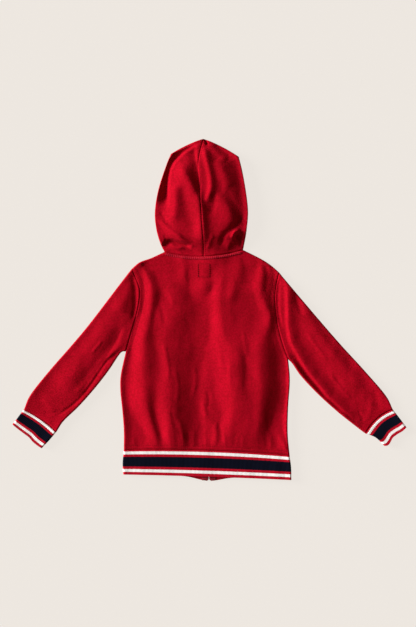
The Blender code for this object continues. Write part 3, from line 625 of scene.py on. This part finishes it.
def layer(grid, upper):
    """The upper or lower layer's outer face over an array of outline points."""
    flat = grid.reshape(-1, 2)
    edge = from_edge(flat)
    radius = FOLD_RADIUS + (HOOD_FOLD_RADIUS - FOLD_RADIUS) * over_neck(flat)
    turn = np.sqrt(1 - (1 - np.clip(edge / radius, 0, 1)) ** 2)
    rise = creased(flat)
    tall = height(flat, edge, rise)
    if upper:
        z = tall * (0.5 + 0.5 * turn)
    else:
        off_zip = smooth((np.abs(flat[:, 0] - ZIP_FOOT.x) - ZIP_STIFF) / ZIP_STIFF_FADE)
        beneath = UNDER_SHARE * np.clip(rise, 0, UNDER_MOST) * off_zip + zip_lift(flat)
        z = tall * (0.5 - 0.5 * turn) + beneath * turn
    return np.concatenate([flat, z[:, None]], axis=1).reshape(*grid.shape[:-1], 3)


FINE_STEPS = np.array((0, 0.0007, 0.0014, 0.0022, 0.0031, 0.0041, 0.0053, 0.0068, 0.0086))


def spread(length, fine_start, fine_end, step=0.0026):
    """Shares of a length: fine steps beside a fold or a seam, and even ones between."""
    start = FINE_STEPS / length if fine_start else np.zeros(1)
    end = 1 - FINE_STEPS[::-1] / length if fine_end else np.ones(1)
    count = max(2, round((end[0] - start[-1]) * length / step))
    return np.concatenate([start, np.linspace(start[-1], end[0], count + 1)[1:-1], end])


def patch(start, end, first, last):
    """A grid of points between two opposite edges, start and end, whose first points are joined by
    first and whose last points by last."""

    def along(a, b):
        sizes = spans_of(a) + spans_of(b)
        return run_of(sizes) / sizes.sum()

    u, v = along(start, end)[None, :, None], along(first, last)[:, None, None]
    corners = (1 - v) * ((1 - u) * start[0] + u * start[-1]) + v * ((1 - u) * end[0] + u * end[-1])
    return (1 - v) * start + v * end + (1 - u) * first[:, None] + u * last[:, None] - corners


def cloth(name, grids, thickness, made_of, depth=None):
    """A piece of cloth from its grids, each (outline points, upper layer or not). Its map is in
    metres: u across the rows, running backwards on the lower layer, and v along them. A depth is
    the length of v in the cloth as it was knitted, before it was pulled or pushed together."""
    points, found, faces, maps = [], {}, [], []

    def corner(point):
        key = tuple(np.round(point, 6))
        if key not in found:
            found[key] = len(points)
            points.append(tuple(point))
        return found[key]

    for grid, upper in grids:
        ids = [[corner(p) for p in row] for row in layer(grid, upper)]
        u = run_of(np.linalg.norm(np.diff(grid, axis=1), axis=2).mean(axis=0))
        v = run_of(np.linalg.norm(np.diff(grid, axis=0), axis=2).mean(axis=1))
        u = u if upper else -u
        v = v if depth is None else v * depth / v[-1]
        a, b = grid[-1, -1] - grid[0, 0], grid[-1, 0] - grid[0, -1]
        turned = (a[0] * b[1] - a[1] * b[0] > 0) != upper
        for j in range(len(ids) - 1):
            for i in range(len(ids[0]) - 1):
                steps = ((j, i), (j, i + 1), (j + 1, i + 1), (j + 1, i))[:: -1 if turned else 1]
                faces.append([ids[m][n] for m, n in steps])
                maps += [(u[n], v[m]) for m, n in steps]
    made = piece_of(name, points, faces, made_of)
    give_wall(made, maps, thickness)
    made.data.shade_smooth()
    made.data.set_sharp_from_angle(angle=np.radians(60))
    return made


def piece_of(name, points, faces, made_of):
    mesh = bpy.data.meshes.new(name)
    mesh.from_pydata(points, [], faces)
    mesh.materials.append(made_of)
    made = bpy.data.objects.new(name, mesh)
    bpy.context.scene.collection.objects.link(made)
    return made


def give_wall(made, maps, thickness):
    """Maps a single face of cloth, then gives it its thickness on the inner side."""
    layer_map = made.data.uv_layers.new(name="cloth")
    layer_map.data.foreach_set("uv", np.array(maps, dtype=np.float32).ravel())
    wall = made.modifiers.new("wall", "SOLIDIFY")
    wall.thickness = thickness
    wall.offset = -1
    apply_modifiers(made)


def apply_modifiers(made):
    bpy.context.view_layer.objects.active = made
    made.select_set(True)
    for modifier in list(made.modifiers):
        bpy.ops.object.modifier_apply(modifier=modifier.name)
    made.select_set(False)


class Value:
    """A number in a material, whose Python operators add Math nodes."""

    def __init__(self, finish, socket):
        self.finish, self.socket = finish, socket

    def math(self, operation, *others):
        values = {i: value for i, value in enumerate((self, *others))}
        return self.finish.node("ShaderNodeMath", {"operation": operation}, values).Value

    def __add__(self, other):
        return self.math("ADD", other)

    def __sub__(self, other):
        return self.math("SUBTRACT", other)

    def __mul__(self, other):
        return self.math("MULTIPLY", other)

    def __rsub__(self, other):
        return self * -1 + other

    __radd__ = __add__
    __rmul__ = __mul__

    def above(self, limit, blur):
        """0 well below the limit and 1 well above it, changing over a blur each side of it."""
        values = {"Value": self, "From Min": limit - blur, "From Max": limit + blur}
        smoothly = {"interpolation_type": "SMOOTHSTEP"}
        return self.finish.node("ShaderNodeMapRange", smoothly, values).Result


class Outputs:
    """The outputs of a node, by identifier."""

    def __init__(self, finish, made):
        self.finish, self.made = finish, made

    def __getattr__(self, name):
        return Value(self.finish, next(s for s in self.made.outputs if s.identifier == name))


class Finish:
    """A material with one Principled shader, built up node by node."""

    def __init__(self, name, **constants):
        self.material = bpy.data.materials.new(name)
        self.material.use_nodes = True
        self.tree = self.material.node_tree
        self.shader = self.tree.nodes["Principled BSDF"]
        self.shade(**constants)

    def put(self, socket, value):
        if isinstance(value, Value):
            self.tree.links.new(value.socket, socket)
        else:
            socket.default_value = value

    def node(self, kind, settings=None, values=None):
        """A node of any type, its settings, and the values or links of its inputs, which are named
        by identifier or by number."""
        made = self.tree.nodes.new(kind)
        for key, value in (settings or {}).items():
            setattr(made, key, value)
        for key, value in (values or {}).items():
            whole = enumerate(made.inputs)
            self.put(next(s for i, s in whole if key in (i, s.identifier)), value)
        return Outputs(self, made)

    def shade(self, **values):
        for key, value in values.items():
            self.put(self.shader.inputs[key.replace("_", " ").title().replace("Ior", "IOR")], value)

    def mix(self, share, a, b):
        values = {"Factor_Float": share, "A_Color": a, "B_Color": b}
        return self.node("ShaderNodeMix", {"data_type": "RGBA"}, values).Result_Color

    def speckle(self, scale, detail=3.0, roughness=0.5):
        place = self.node("ShaderNodeTexCoord").Object
        values = {"Vector": place, "Scale": scale, "Detail": detail, "Roughness": roughness}
        return self.node("ShaderNodeTexNoise", None, values).Fac

    def bump(self, tall, strength, distance):
        values = {"Height": tall, "Strength": strength, "Distance": distance}
        return self.node("ShaderNodeBump", None, values).Normal

    def cloth_map(self):
        place = self.node("ShaderNodeUVMap", {"uv_map": "cloth"}).UV
        parts = self.node("ShaderNodeSeparateXYZ", None, {"Vector": place})
        return parts.X, parts.Y


RED_DEEP = (0.200, 0.0005, 0.0034, 1)
RED = (0.372, 0.0010, 0.0120, 1)
RED_BRIGHT = (0.520, 0.0024, 0.0230, 1)
WALE = 0.0011  # from one column of knitted loops to the next
COURSE = 0.0008  # from one row of loops to the next
TURN = 2 * np.pi


def red_fleece():
    """Fine V-shaped loops under a brushed pile, which has caught the dye a little unevenly."""
    finish = Finish("red fleece", roughness=0.93, specular_ior_level=0.04, sheen_weight=0.06)
    finish.shade(sheen_roughness=0.4, sheen_tint=(1.0, 0.08, 0.16, 1))
    u, v = finish.cloth_map()
    wale = (u * (TURN / WALE)).math("SINE")
    lean = wale.math("ABSOLUTE") * (COURSE * 0.6)
    course = ((v + lean) * (TURN / COURSE)).math("SINE")
    cloud = finish.speckle(26.0, 4.0)
    pile = finish.speckle(300.0, 4.0, 0.65)
    fibre = finish.speckle(1500.0)
    worn = finish.mix(cloud.above(0.5, 0.3) * 0.35 + pile.above(0.5, 0.12) * 0.62, RED_DEEP, RED)
    colour = finish.mix(fibre.above(0.6, 0.2) * 0.5, worn, RED_BRIGHT)
    relief = wale * 0.3 + course * 0.25 + pile * 0.65 + fibre * 0.5
    finish.shade(base_color=colour, normal=finish.bump(relief, 0.22, 0.0008))
    return finish.material


FLEECE_RED = red_fleece()
TORSO_ROWS = spread(0.200, True, False)
ARMHOLE_ROWS = spread(0.180, True, True)
SHOULDER_COLUMNS = spread(0.080, True, False)
NECK_COLUMNS = spread(0.080, False, False)  # from the side of the neck to the centre back
SHOULDER_SHARE = 0.25  # of the hem's width that lies below each shoulder


def body_side(side):
    return joined(curve(side(TORSO), TORSO_ROWS), curve(side(ARMHOLE), ARMHOLE_ROWS))


HALF_COLUMNS = np.concatenate([
    SHOULDER_COLUMNS * SHOULDER_SHARE,
    SHOULDER_SHARE + NECK_COLUMNS[1:] * (0.5 - SHOULDER_SHARE),
])
BACK_COLUMNS = np.concatenate([HALF_COLUMNS, 1 - HALF_COLUMNS[-2::-1]])
back_top = joined(
    curve(left(SHOULDER), SHOULDER_COLUMNS),
    back_neck(np.concatenate([NECK_COLUMNS / 2, 1 - NECK_COLUMNS[-2::-1] / 2])),
    curve(right(SHOULDER), SHOULDER_COLUMNS)[::-1],
)
back_grid = patch(hem_seam(BACK_COLUMNS), back_top, body_side(left), body_side(right))


def sew_in(made, node):
    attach(made, "garment")
    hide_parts(node)


back = cloth("back_panel", [(back_grid, True)], FLEECE, FLEECE_RED)
sew_in(back, "back")

# ---------------------------------------------------------------------------------------------
# Fronts. Two panels of the same fleece under the back, sewn to it at the shoulders and sides,
# each finished along the centre with the zip. They lie flat on the floor.

ZIP_HALF_GAP = 0.0033  # from the centre line to each front edge
FRONT_NECK_BOW = 0.0060
TOPWARD = 1.35  # how much the rows crowd towards the neck
RIM_COLUMNS = spread(0.080, True, False)  # from the side of the neck to the zip


def across_zip(side):
    return np.array((-ZIP_HALF_GAP if side is left else ZIP_HALF_GAP, 0))


def front_neck(side, shares):
    return bowed(side(SHOULDER)[-1], np.array(ZIP_TOP) + across_zip(side), shares, (0, -FRONT_NECK_BOW))


FRONT_COLUMNS = np.concatenate([
    SHOULDER_COLUMNS * SHOULDER_SHARE,
    SHOULDER_SHARE + RIM_COLUMNS[1:] * (0.5 - SHOULDER_SHARE),
])


SEAM_UP_ZIP = 0.15  # share of the zip's length that lies on the hem band


def half_line(whole, side, foot_share):
    """The half of a line across the body that one front covers, from the side to the zip."""
    line = whole(FRONT_COLUMNS if side is left else 1 - FRONT_COLUMNS)
    middle = np.array(ZIP_FOOT.lerp(ZIP_TOP, foot_share)) + across_zip(side)
    line[:, 0] += (middle[0] - line[-1, 0]) * smooth(FRONT_COLUMNS * 2)
    return line


def front_panel(side, name):
    seam = half_line(hem_seam, side, SEAM_UP_ZIP)
    neck = joined(curve(side(SHOULDER), SHOULDER_COLUMNS), front_neck(side, RIM_COLUMNS))
    outside = body_side(side)
    closer_to_top = 1 - np.linspace(1, 0, len(outside))[:, None] ** TOPWARD
    zip_edge = seam[-1] + closer_to_top * (neck[-1] - seam[-1])
    grid = patch(seam, neck, outside, zip_edge)
    made = cloth(f"front_panel_{name}", [(grid, False)], FLEECE, FLEECE_RED)
    sew_in(made, f"front_{name}")


front_panel(left, "left")
front_panel(right, "right")

# ---------------------------------------------------------------------------------------------
# Sleeves. Each is one piece of fleece joined along the underarm, set into the armhole and
# topstitched there. They lie flattened, and the slack of the upper side rolls into long folds.

SLEEVE_ROWS = spread(0.330, True, True)
WRIST = 0.079
WRIST_FINE = FINE_STEPS / WRIST
EVEN_COLUMNS = len(ARMHOLE_ROWS) - 2 * len(FINE_STEPS) + 2  # as many in all as at the armhole
WRIST_COLUMNS = np.concatenate([
    WRIST_FINE,
    np.linspace(WRIST_FINE[-1], 1 - WRIST_FINE[-1], EVEN_COLUMNS)[1:-1],
    1 - WRIST_FINE[::-1],
])


def add_sleeve(side, name, sleeve, cuff, bow):
    armhole = curve(side(ARMHOLE), ARMHOLE_ROWS)
    wrist = cuff_seam(sleeve, cuff, bow, WRIST_COLUMNS)
    grid = patch(armhole, wrist, curve(inner(sleeve), SLEEVE_ROWS), curve(outer(sleeve), SLEEVE_ROWS))
    made = cloth(f"sleeve_panel_{name}", [(grid, True), (grid, False)], FLEECE, FLEECE_RED)
    sew_in(made, f"sleeve_{name}")


add_sleeve(left, "left", LEFT_SLEEVE, LEFT_CUFF, LEFT_CUFF_BOW)
add_sleeve(right, "right", RIGHT_SLEEVE, RIGHT_CUFF, RIGHT_CUFF_BOW)

# ---------------------------------------------------------------------------------------------
# Cuffs and hem band. Rib knit folded double and sewn on slightly stretched, knitted in bands of
# red, white and navy that run round the body. The fold is at the free edge.

RIB = 0.0030
RIB_PITCH = 0.0026
RIB_DEPTH = 0.0480  # from the seam to the fold
BAND_RISE = 0.0011
FRONT_DROP = 0.0090  # the front hem hangs lower at the zip
FRONT_DROP_REACH = 0.0340
RIB_RED = (0.430, 0.0040, 0.0170, 1)
RIB_WHITE = (0.88, 0.88, 0.89, 1)
RIB_NAVY = (0.0016, 0.0030, 0.0100, 1)
# painted shade for the furrows between the rib's columns
FURROW_PAINTED_SHADE = (0.004, 0.0008, 0.002, 1)
Stripe = namedtuple("Stripe", "end colour")
STRIPES = (
    Stripe(0.0028, RIB_RED),
    Stripe(0.0082, RIB_WHITE),
    Stripe(0.0130, RIB_RED),
    Stripe(0.0320, RIB_NAVY),
    Stripe(0.0370, RIB_RED),
    Stripe(0.0424, RIB_WHITE),
    Stripe(0.0600, RIB_RED),
)


def striped_rib():
    finish = Finish("striped rib", roughness=0.9, specular_ior_level=0.05)
    u, v = finish.cloth_map()
    column = (u * (TURN / RIB_PITCH)).math("SINE")
    loops = (v * (TURN / COURSE)).math("SINE")
    fuzz = finish.speckle(600.0, 4.0)
    row = v + (fuzz - 0.5) * 0.0007 + column * 0.00015
    colour = STRIPES[0].colour
    for below, above in zip(STRIPES, STRIPES[1:]):
        colour = finish.mix(row.above(below.end, 0.0003), colour, above.colour)
    # Painted shade: darker in the furrows between the rib's columns; the fuzz darkens it a little at
    # random.
    deep = (0.5 - column * 0.5).above(0.75, 0.25)
    colour = finish.mix(deep * 0.25 + fuzz * 0.12, colour, FURROW_PAINTED_SHADE)
    relief = column + loops * 0.12 + fuzz * 0.4
    finish.shade(base_color=colour, normal=finish.bump(relief, 0.25, 0.0006))
    return finish.material


RIB_STRIPED = striped_rib()


def declare_rib(made, node):
    sew_in(made, node)


def band_foot(shares):
    return bowed(left(BAND_SIDES)[-1], right(BAND_SIDES)[-1], shares, (0, BAND_RISE))


def add_band():
    rows = spread(0.049, True, True)
    sides = [curve(side(BAND_SIDES), rows) for side in (left, right)]
    grids = [(patch(hem_seam(BACK_COLUMNS), band_foot(BACK_COLUMNS), *sides), True)]
    for side, outside in zip((left, right), sides):
        seam, edge = half_line(hem_seam, side, SEAM_UP_ZIP), half_line(band_foot, side, 0)
        edge[:, 1] -= FRONT_DROP * bell(edge[:, 0] - ZIP_FOOT.x, FRONT_DROP_REACH)
        grids.append((patch(seam, edge, outside, np.linspace(seam[-1], edge[-1], len(rows))), False))
    return cloth("rib_hem_band", grids, RIB, RIB_STRIPED, RIB_DEPTH)


def add_cuff(name, sleeve, cuff, free_end, bow):
    rows = spread(0.046, True, True)
    seam = cuff_seam(sleeve, cuff, bow, WRIST_COLUMNS)
    end = curve(np.array(free_end) * MM, WRIST_COLUMNS)
    grid = patch(seam, end, curve(inner(cuff), rows), curve(outer(cuff), rows))
    return cloth(f"rib_cuff_{name}", [(grid, True), (grid, False)], RIB, RIB_STRIPED, RIB_DEPTH)


declare_rib(add_band(), "hem_band")
left_cuff = add_cuff("left", LEFT_SLEEVE, LEFT_CUFF, LEFT_CUFF_END, LEFT_CUFF_BOW)
declare_rib(left_cuff, "cuff_left")
right_cuff = add_cuff("right", RIGHT_SLEEVE, RIGHT_CUFF, RIGHT_CUFF_END, RIGHT_CUFF_BOW)
declare_rib(right_cuff, "cuff_right")

# ---------------------------------------------------------------------------------------------
# Hood. Two halves of fleece joined by a seam over the head and sewn to the neck. It is spread
# with its opening to the floor; the front edge turns under, and the crown folds deeply.

HOOD_RIM = (
    Across(-40, 90, 18, 90),
    Across(-60, 130, 36, 130),
    Across(-70, 175, 45, 175),
    Across(-69, 225, 43, 225),
    Across(-58, 268, 33, 266),
    Across(-40, 298, 18, 296),
)
HOOD_RIM_TOP = (-0.011, 0.313)


def add_hood(side, name):
    rows = spread(0.230, True, True, 0.0022)
    columns = spread(0.085, True, True, 0.0022)
    under_columns = spread(0.040, True, False)
    neck = back_neck(columns / 2 if side is left else 1 - columns / 2)
    edge = curve(side(HOOD_SIDES), rows)
    seam = curve(np.array(HOOD_SEAM) * MM, rows)
    seam[0] = neck[-1]
    top = hood_top_edge(side, 1 - columns)
    outline = joined(edge, top)
    start = front_neck(side, under_columns)
    rim = curve([tuple(start[-1]), *side(HOOD_RIM), HOOD_RIM_TOP], np.linspace(0, 1, len(outline)))
    crown = bowed(HOOD_TOP, HOOD_RIM_TOP, under_columns, (0, 0))
    grids = [(patch(neck, top, edge, seam), True), (patch(start, crown, outline, rim), False)]
    made = cloth(f"hood_half_{name}", grids, FLEECE, FLEECE_RED)
    sew_in(made, f"hood_{name}")


add_hood(left, "left")
add_hood(right, "right")

# ---------------------------------------------------------------------------------------------
# Zip. A separating zip in red: two woven tapes sewn inside the front edges and a row of moulded
# teeth on each, closed from the hem band to the neck.

TAPE = 0.0006
TAPE_HALF = 0.0140
TAPE_INNER = 0.0010
TEETH_HALF = 0.0028
SEAM_GAP = 0.0003
BAND_AT_ZIP = 0.0620  # the tapes lie on the rib this far up
TOOTH_PITCH = 0.0026
TAPE_RED = (0.30, 0.006, 0.018, 1)
TOOTH_RED = (0.36, 0.004, 0.014, 1)
zip_length = (ZIP_TOP - ZIP_FOOT).length


def zip_frame(share):
    """A frame on the zip's line: X across it, Y up it and Z away from the floor."""
    up = (ZIP_TOP - ZIP_FOOT).normalized()
    place = ZIP_FOOT.lerp(ZIP_TOP, share)
    return Matrix(((up.y, up.x, 0, place.x), (-up.x, up.y, 0, place.y), (0, 0, 1, 0), (0, 0, 0, 1)))


def zip_seat(share):
    """Height of the tapes' lower face: on the rib at the foot, then on the fleece."""
    on_band = 1 - smooth((share * zip_length - BAND_AT_ZIP) / 0.02)
    return FLEECE + (RIB - FLEECE) * on_band + SEAM_GAP


def zip_rise(share):
    return zip_lift(np.array([ZIP_FOOT.lerp(ZIP_TOP, share)]))[0]


def woven_tape():
    finish = Finish("zip tape", roughness=0.8, specular_ior_level=0.3, sheen_weight=0.1)
    u, v = finish.cloth_map()
    weave = (u * (TURN / 0.0009)).math("SINE") * (v * (TURN / 0.0007)).math("SINE")
    colour = finish.mix(weave * 0.3 + finish.speckle(900.0) * 0.5, TAPE_RED, RED_DEEP)
    finish.shade(base_color=colour, normal=finish.bump(weave, 0.4, 0.0003))
    return finish.material


def zip_tape(name, sign, made_of):
    shares = np.linspace(0, 1 - 0.0004 / zip_length, 120)
    acrosses = np.linspace(TAPE_INNER, TAPE_HALF, 8) * sign
    points = [
        zip_frame(share) @ Vector((across, 0, zip_rise(share) + zip_seat(share) + TAPE))
        for share in shares
        for across in acrosses
    ]
    count = len(acrosses)
    faces, maps = [], []
    for j in range(len(shares) - 1):
        for i in range(count - 1):
            steps = ((j, i), (j, i + 1), (j + 1, i + 1), (j + 1, i))[::sign]
            faces.append([m * count + n for m, n in steps])
            maps += [(acrosses[n], shares[m] * zip_length) for m, n in steps]
    made = piece_of(name, points, faces, made_of)
    made.data.shade_smooth()
    give_wall(made, maps, TAPE)
    sew_in(made, "zip")


TAPE_WOVEN = woven_tape()
zip_tape("zip_tape_left", -1, TAPE_WOVEN)
zip_tape("zip_tape_right", 1, TAPE_WOVEN)


def moulded():
    finish = Finish("zip teeth", roughness=0.35, specular_ior_level=0.5)
    cloud = finish.speckle(300.0)
    colour = finish.mix(cloud, TOOTH_RED, RED_DEEP)
    finish.shade(base_color=colour, normal=finish.bump(cloud, 0.1, 0.0002))
    return finish.material


def select_faces(made, chosen):
    """Selects the faces of an object in edit mode whose normal and centre pass a test."""
    bpy.ops.object.mode_set(mode="OBJECT")
    for kind in (made.data.vertices, made.data.edges, made.data.polygons):
        kind.foreach_set("select", [False] * len(kind))
    for face in made.data.polygons:
        face.select = chosen(face.normal, face.center)
    bpy.ops.object.mode_set(mode="EDIT")


def zip_teeth(name, sign, made_of):
    tooth_length = TOOTH_PITCH * 0.5
    tall = FLEECE - SEAM_GAP
    bpy.ops.mesh.primitive_cube_add(size=1, scale=(TEETH_HALF - 0.0004, tooth_length, tall))
    made = bpy.context.active_object
    made.name = name
    bpy.ops.object.transform_apply(location=False, rotation=False, scale=True)
    bpy.ops.object.mode_set(mode="EDIT")
    bpy.ops.mesh.select_mode(type="FACE")
    select_faces(made, lambda normal, centre: normal.x * sign < -0.5)
    bpy.ops.mesh.inset(thickness=0.00022)
    bpy.ops.mesh.extrude_region_move(TRANSFORM_OT_translate={"value": (-0.0009 * sign, 0, 0)})
    bpy.ops.transform.resize(value=(1, 1.5, 1.0))
    bpy.ops.object.mode_set(mode="OBJECT")
    start = 0.003 if sign > 0 else 0.003 + TOOTH_PITCH / 2
    place = Vector((sign * (TEETH_HALF + 0.0004) / 2, start, SEAM_GAP + tall / 2))
    made.data.transform(Matrix.Translation(place))
    row = made.modifiers.new("row", "ARRAY")
    row.count = int((zip_length - 0.012) / TOOTH_PITCH)
    row.use_relative_offset = False
    row.use_constant_offset = True
    row.constant_offset_displace = (0, TOOTH_PITCH, 0)
    soft = made.modifiers.new("soft", "BEVEL")
    soft.width = 0.00012
    soft.segments = 1
    apply_modifiers(made)
    for corner in made.data.vertices:
        share = corner.co.y / zip_length
        corner.co.z += zip_rise(share)
        corner.co = zip_frame(0) @ corner.co
    made.data.materials.clear()
    made.data.materials.append(made_of)
    sew_in(made, "zip")


TEETH = moulded()
zip_teeth("zip_teeth_left", -1, TEETH)
zip_teeth("zip_teeth_right", 1, TEETH)

# ---------------------------------------------------------------------------------------------
# Slider and pull tab. Die-cast zinc with a dull plating. The slider sits at the top of the closed
# chain, and the tab hangs on its bridge and swings there; both lie under the fronts.


def plated_zinc():
    finish = Finish("plated zinc", metallic=1.0)
    cast = finish.speckle(700.0, 4.0)
    tarnish = finish.speckle(120.0, 3.0).above(0.55, 0.2)
    colour = finish.mix(tarnish * 0.5, (0.58, 0.57, 0.56, 1), (0.34, 0.33, 0.32, 1))
    relief = finish.bump(cast, 0.15, 0.0002)
    finish.shade(base_color=colour, roughness=tarnish * 0.2 + 0.32, normal=relief)
    return finish.material


ZINC = plated_zinc()
for node in ("slider", "pull_tab"):
    for holder in bpy.data.objects[node].material_slots:
        holder.material = ZINC

# ---------------------------------------------------------------------------------------------
# Stitching. Red thread in rows beside each seam, sewn with two needles and painted darker than the
# fleece as the shade along the rows, with looper threads across the roll under the neck seam, and
# a small rectangle below it where a tab inside is held, its thread painted nearly black as shade.

THREAD = 0.00040  # radius
STITCH = 0.0028
STITCH_GAP = 0.0010
PROUD = 0.7  # of its radius, by which a thread's middle lies above the cloth
DIVE = 1.1  # of its radius, by which a stitch's ends sink
# painted shade: darker than the fleece, as the shade along the rows of stitches
THREAD_RED_WITH_PAINTED_SHADE = (0.260, 0.0014, 0.0085, 1)
THREAD_PALE = (0.620, 0.0220, 0.0550, 1)
# painted shade: nearly black, for the tab rectangle's stitches
THREAD_PAINTED_SHADE = (0.045, 0.0002, 0.0010, 1)


def red_thread(name, deep, light):
    finish = Finish(name, roughness=0.85, specular_ior_level=0.08)
    twist = finish.speckle(2500.0)
    finish.shade(base_color=finish.mix(twist, deep, light), normal=finish.bump(twist, 0.3, 0.0002))
    return finish.material


def one_stitch():
    """A single stitch along X, one metre long before it is placed: its ends dive into the cloth."""
    bpy.ops.mesh.primitive_cylinder_add(vertices=6, radius=THREAD, depth=1, rotation=(0, np.pi / 2, 0))
    made = bpy.context.active_object
    bpy.ops.object.transform_apply(location=False, rotation=True, scale=False)
    bpy.ops.object.mode_set(mode="EDIT")
    for x in (-0.3, 0.3):
        bpy.ops.mesh.select_all(action="SELECT")
        bpy.ops.mesh.bisect(plane_co=(x, 0, 0), plane_no=(1, 0, 0))
    bpy.ops.object.mode_set(mode="OBJECT")
    points = np.array([corner.co for corner in made.data.vertices])
    at_end = np.abs(points[:, 0]) > 0.4
    points[at_end, 1:] *= 0.4
    points[at_end, 2] -= THREAD * DIVE
    faces = [list(face.vertices) for face in made.data.polygons]
    bpy.data.objects.remove(made)
    return points, faces


SEWN = [
    bpy.data.objects[name]
    for name in (
        "back_panel", "sleeve_panel_left", "sleeve_panel_right", "hood_half_left", "hood_half_right",
    )
]
OVERHEAD = 0.2  # above all the cloth


def on_cloth(points):
    """Points of the outline lifted onto the outer face of the cloth they lie over."""
    lifted = layer(points, True)
    for point in lifted.reshape(-1, 3):
        above = Vector((point[0], point[1], OVERHEAD))
        hits = [piece.ray_cast(above, Vector((0, 0, -1))) for piece in SEWN]
        point[2] = max([hit[1].z for hit in hits if hit[0]], default=point[2])
    return lifted


def stitches(name, spans, made_of):
    """Copies of the one stitch on the cloth's face, one between each pair of outline points."""
    points, faces = one_stitch()
    ends = on_cloth(np.array(spans))
    vertices, shapes = [], []
    for a, b in ends:
        along = b - a
        length = np.linalg.norm(along)
        across = np.cross((0, 0, 1), along / length)
        across /= np.linalg.norm(across)
        up = np.cross(along / length, across)
        base = len(vertices)
        lift = (points[:, 2:] + THREAD * PROUD) * up
        placed = (a + b) / 2 + points[:, :1] * along + points[:, 1:2] * across + lift
        vertices += [tuple(p) for p in placed]
        shapes += [[base + c for c in face] for face in faces]
    made = piece_of(name, vertices, shapes, made_of)
    made.data.shade_smooth()
    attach(made, "garment")


def running(line):
    """Pairs of points for stitches end to end along a line."""
    pitch = STITCH + STITCH_GAP
    count = int(spans_of(line).sum() / pitch)
    starts = (np.arange(count) + 0.5 * STITCH_GAP / pitch) / count
    ends = starts + STITCH / pitch / count
    return list(np.stack([at_shares(line, starts), at_shares(line, ends)], axis=1))


THREADS = red_thread("red thread", RED_DEEP, THREAD_RED_WITH_PAINTED_SHADE)
LOOPERS = red_thread("looper thread", THREAD_RED_WITH_PAINTED_SHADE, THREAD_PALE)
PAINTED_SHADE_THREAD = red_thread("thread painted dark as shade", THREAD_PAINTED_SHADE, RED_DEEP)
# The topstitching's thread is painted darker than the fleece, as the shade along its rows.
stitches("topstitching", [span for line in ROWS for span in running(line)], THREADS)

# The looper threads show as short bars across the roll, three threads to each. Each thread is in
# three spans, which follow the roll over.
LOOP_PITCH = 0.0039
BAR_THREADS = (-0.0006, 0, 0.0006)
BAR_SPANS = ((-0.0010, -0.0029), (-0.0026, -0.0046), (-0.0043, -0.0062))
neck_run = spans_of(SEAMS["neck"]).sum()
loop_shares = np.arange(0.5, int(neck_run / LOOP_PITCH)) * LOOP_PITCH / neck_run
loops = []
for apart in BAR_THREADS:
    shares = loop_shares + apart / neck_run
    for ends in BAR_SPANS:
        loops += zip(*(at_shares(beside(SEAMS["neck"], offset), shares) for offset in ends))
stitches("neck_loops", loops, LOOPERS)

# The rectangle, whose upright sides are sewn twice. Its thread is painted nearly black, as the shade
# where the stitches pull the cloth in round the tab.
TAB_LEFT, TAB_RIGHT, TAB_TOP, TAB_FOOT = -0.0220, 0.0020, 0.0925, 0.0665
TAB_APART = 0.0013
tab_corners = np.array([
    (TAB_LEFT, TAB_TOP), (TAB_RIGHT, TAB_TOP), (TAB_RIGHT, TAB_FOOT), (TAB_LEFT, TAB_FOOT),
    (TAB_LEFT, TAB_TOP),
])
tab_lines = [np.array(ends) for ends in zip(tab_corners, tab_corners[1:])]
tab_lines += [tab_lines[1] + (-TAB_APART, 0), tab_lines[3] + (TAB_APART, 0)]
stitches("tab_rectangle", [span for line in tab_lines for span in running(line)], PAINTED_SHADE_THREAD)

# ---------------------------------------------------------------------------------------------
# Floor, light and camera. A plain pale floor under a large soft light from the left, low enough
# for the folds to shade the cloth beside them. The camera looks straight down.

bpy.ops.mesh.primitive_plane_add(size=60)
floor = bpy.context.active_object
floor.name = "floor"
ground = Finish("pale floor", roughness=0.95, specular_ior_level=0.05, emission_strength=1.0)
ground.shade(emission_color=(0.806, 0.760, 0.710, 1))
grain = ground.speckle(260.0, 3.0)
ground.shade(
    base_color=ground.mix(grain.above(0.5, 0.4), (0.030, 0.0285, 0.027, 1), (0.040, 0.038, 0.036, 1)),
    normal=ground.bump(grain, 0.1, 0.0004),
)
floor.data.materials.append(ground.material)

key = bpy.data.lights.new("key light", "SUN")
key.energy = 8.6
key.color = (1.0, 0.98, 0.96)
key.angle = np.radians(26)
key_light = bpy.data.objects.new("key light", key)
key_light.rotation_euler = Vector((0.895, -0.265, -0.36)).to_track_quat("-Z", "Y").to_euler()
bpy.context.scene.collection.objects.link(key_light)

world = bpy.data.worlds.new("studio")
world.use_nodes = True
background = world.node_tree.nodes["Background"]
background.inputs["Color"].default_value = (1.0, 0.82, 0.64, 1)
background.inputs["Strength"].default_value = 0.20
bpy.context.scene.world = world
bpy.context.scene.view_settings.view_transform = "Standard"

CAMERA_HEIGHT = 3.0
VIEW_HEIGHT = 1.254  # of the floor seen, from the top edge of the picture to its foot
SENSOR = 24
lens = bpy.data.cameras.new("camera")
lens.sensor_fit = "VERTICAL"
lens.sensor_height = SENSOR
lens.lens = SENSOR * CAMERA_HEIGHT / VIEW_HEIGHT
camera = bpy.data.objects.new("camera", lens)
camera.location = (-0.0020, -0.0065, CAMERA_HEIGHT)  # over the middle of the floor that it sees
bpy.context.scene.collection.objects.link(camera)
bpy.context.scene.camera = camera
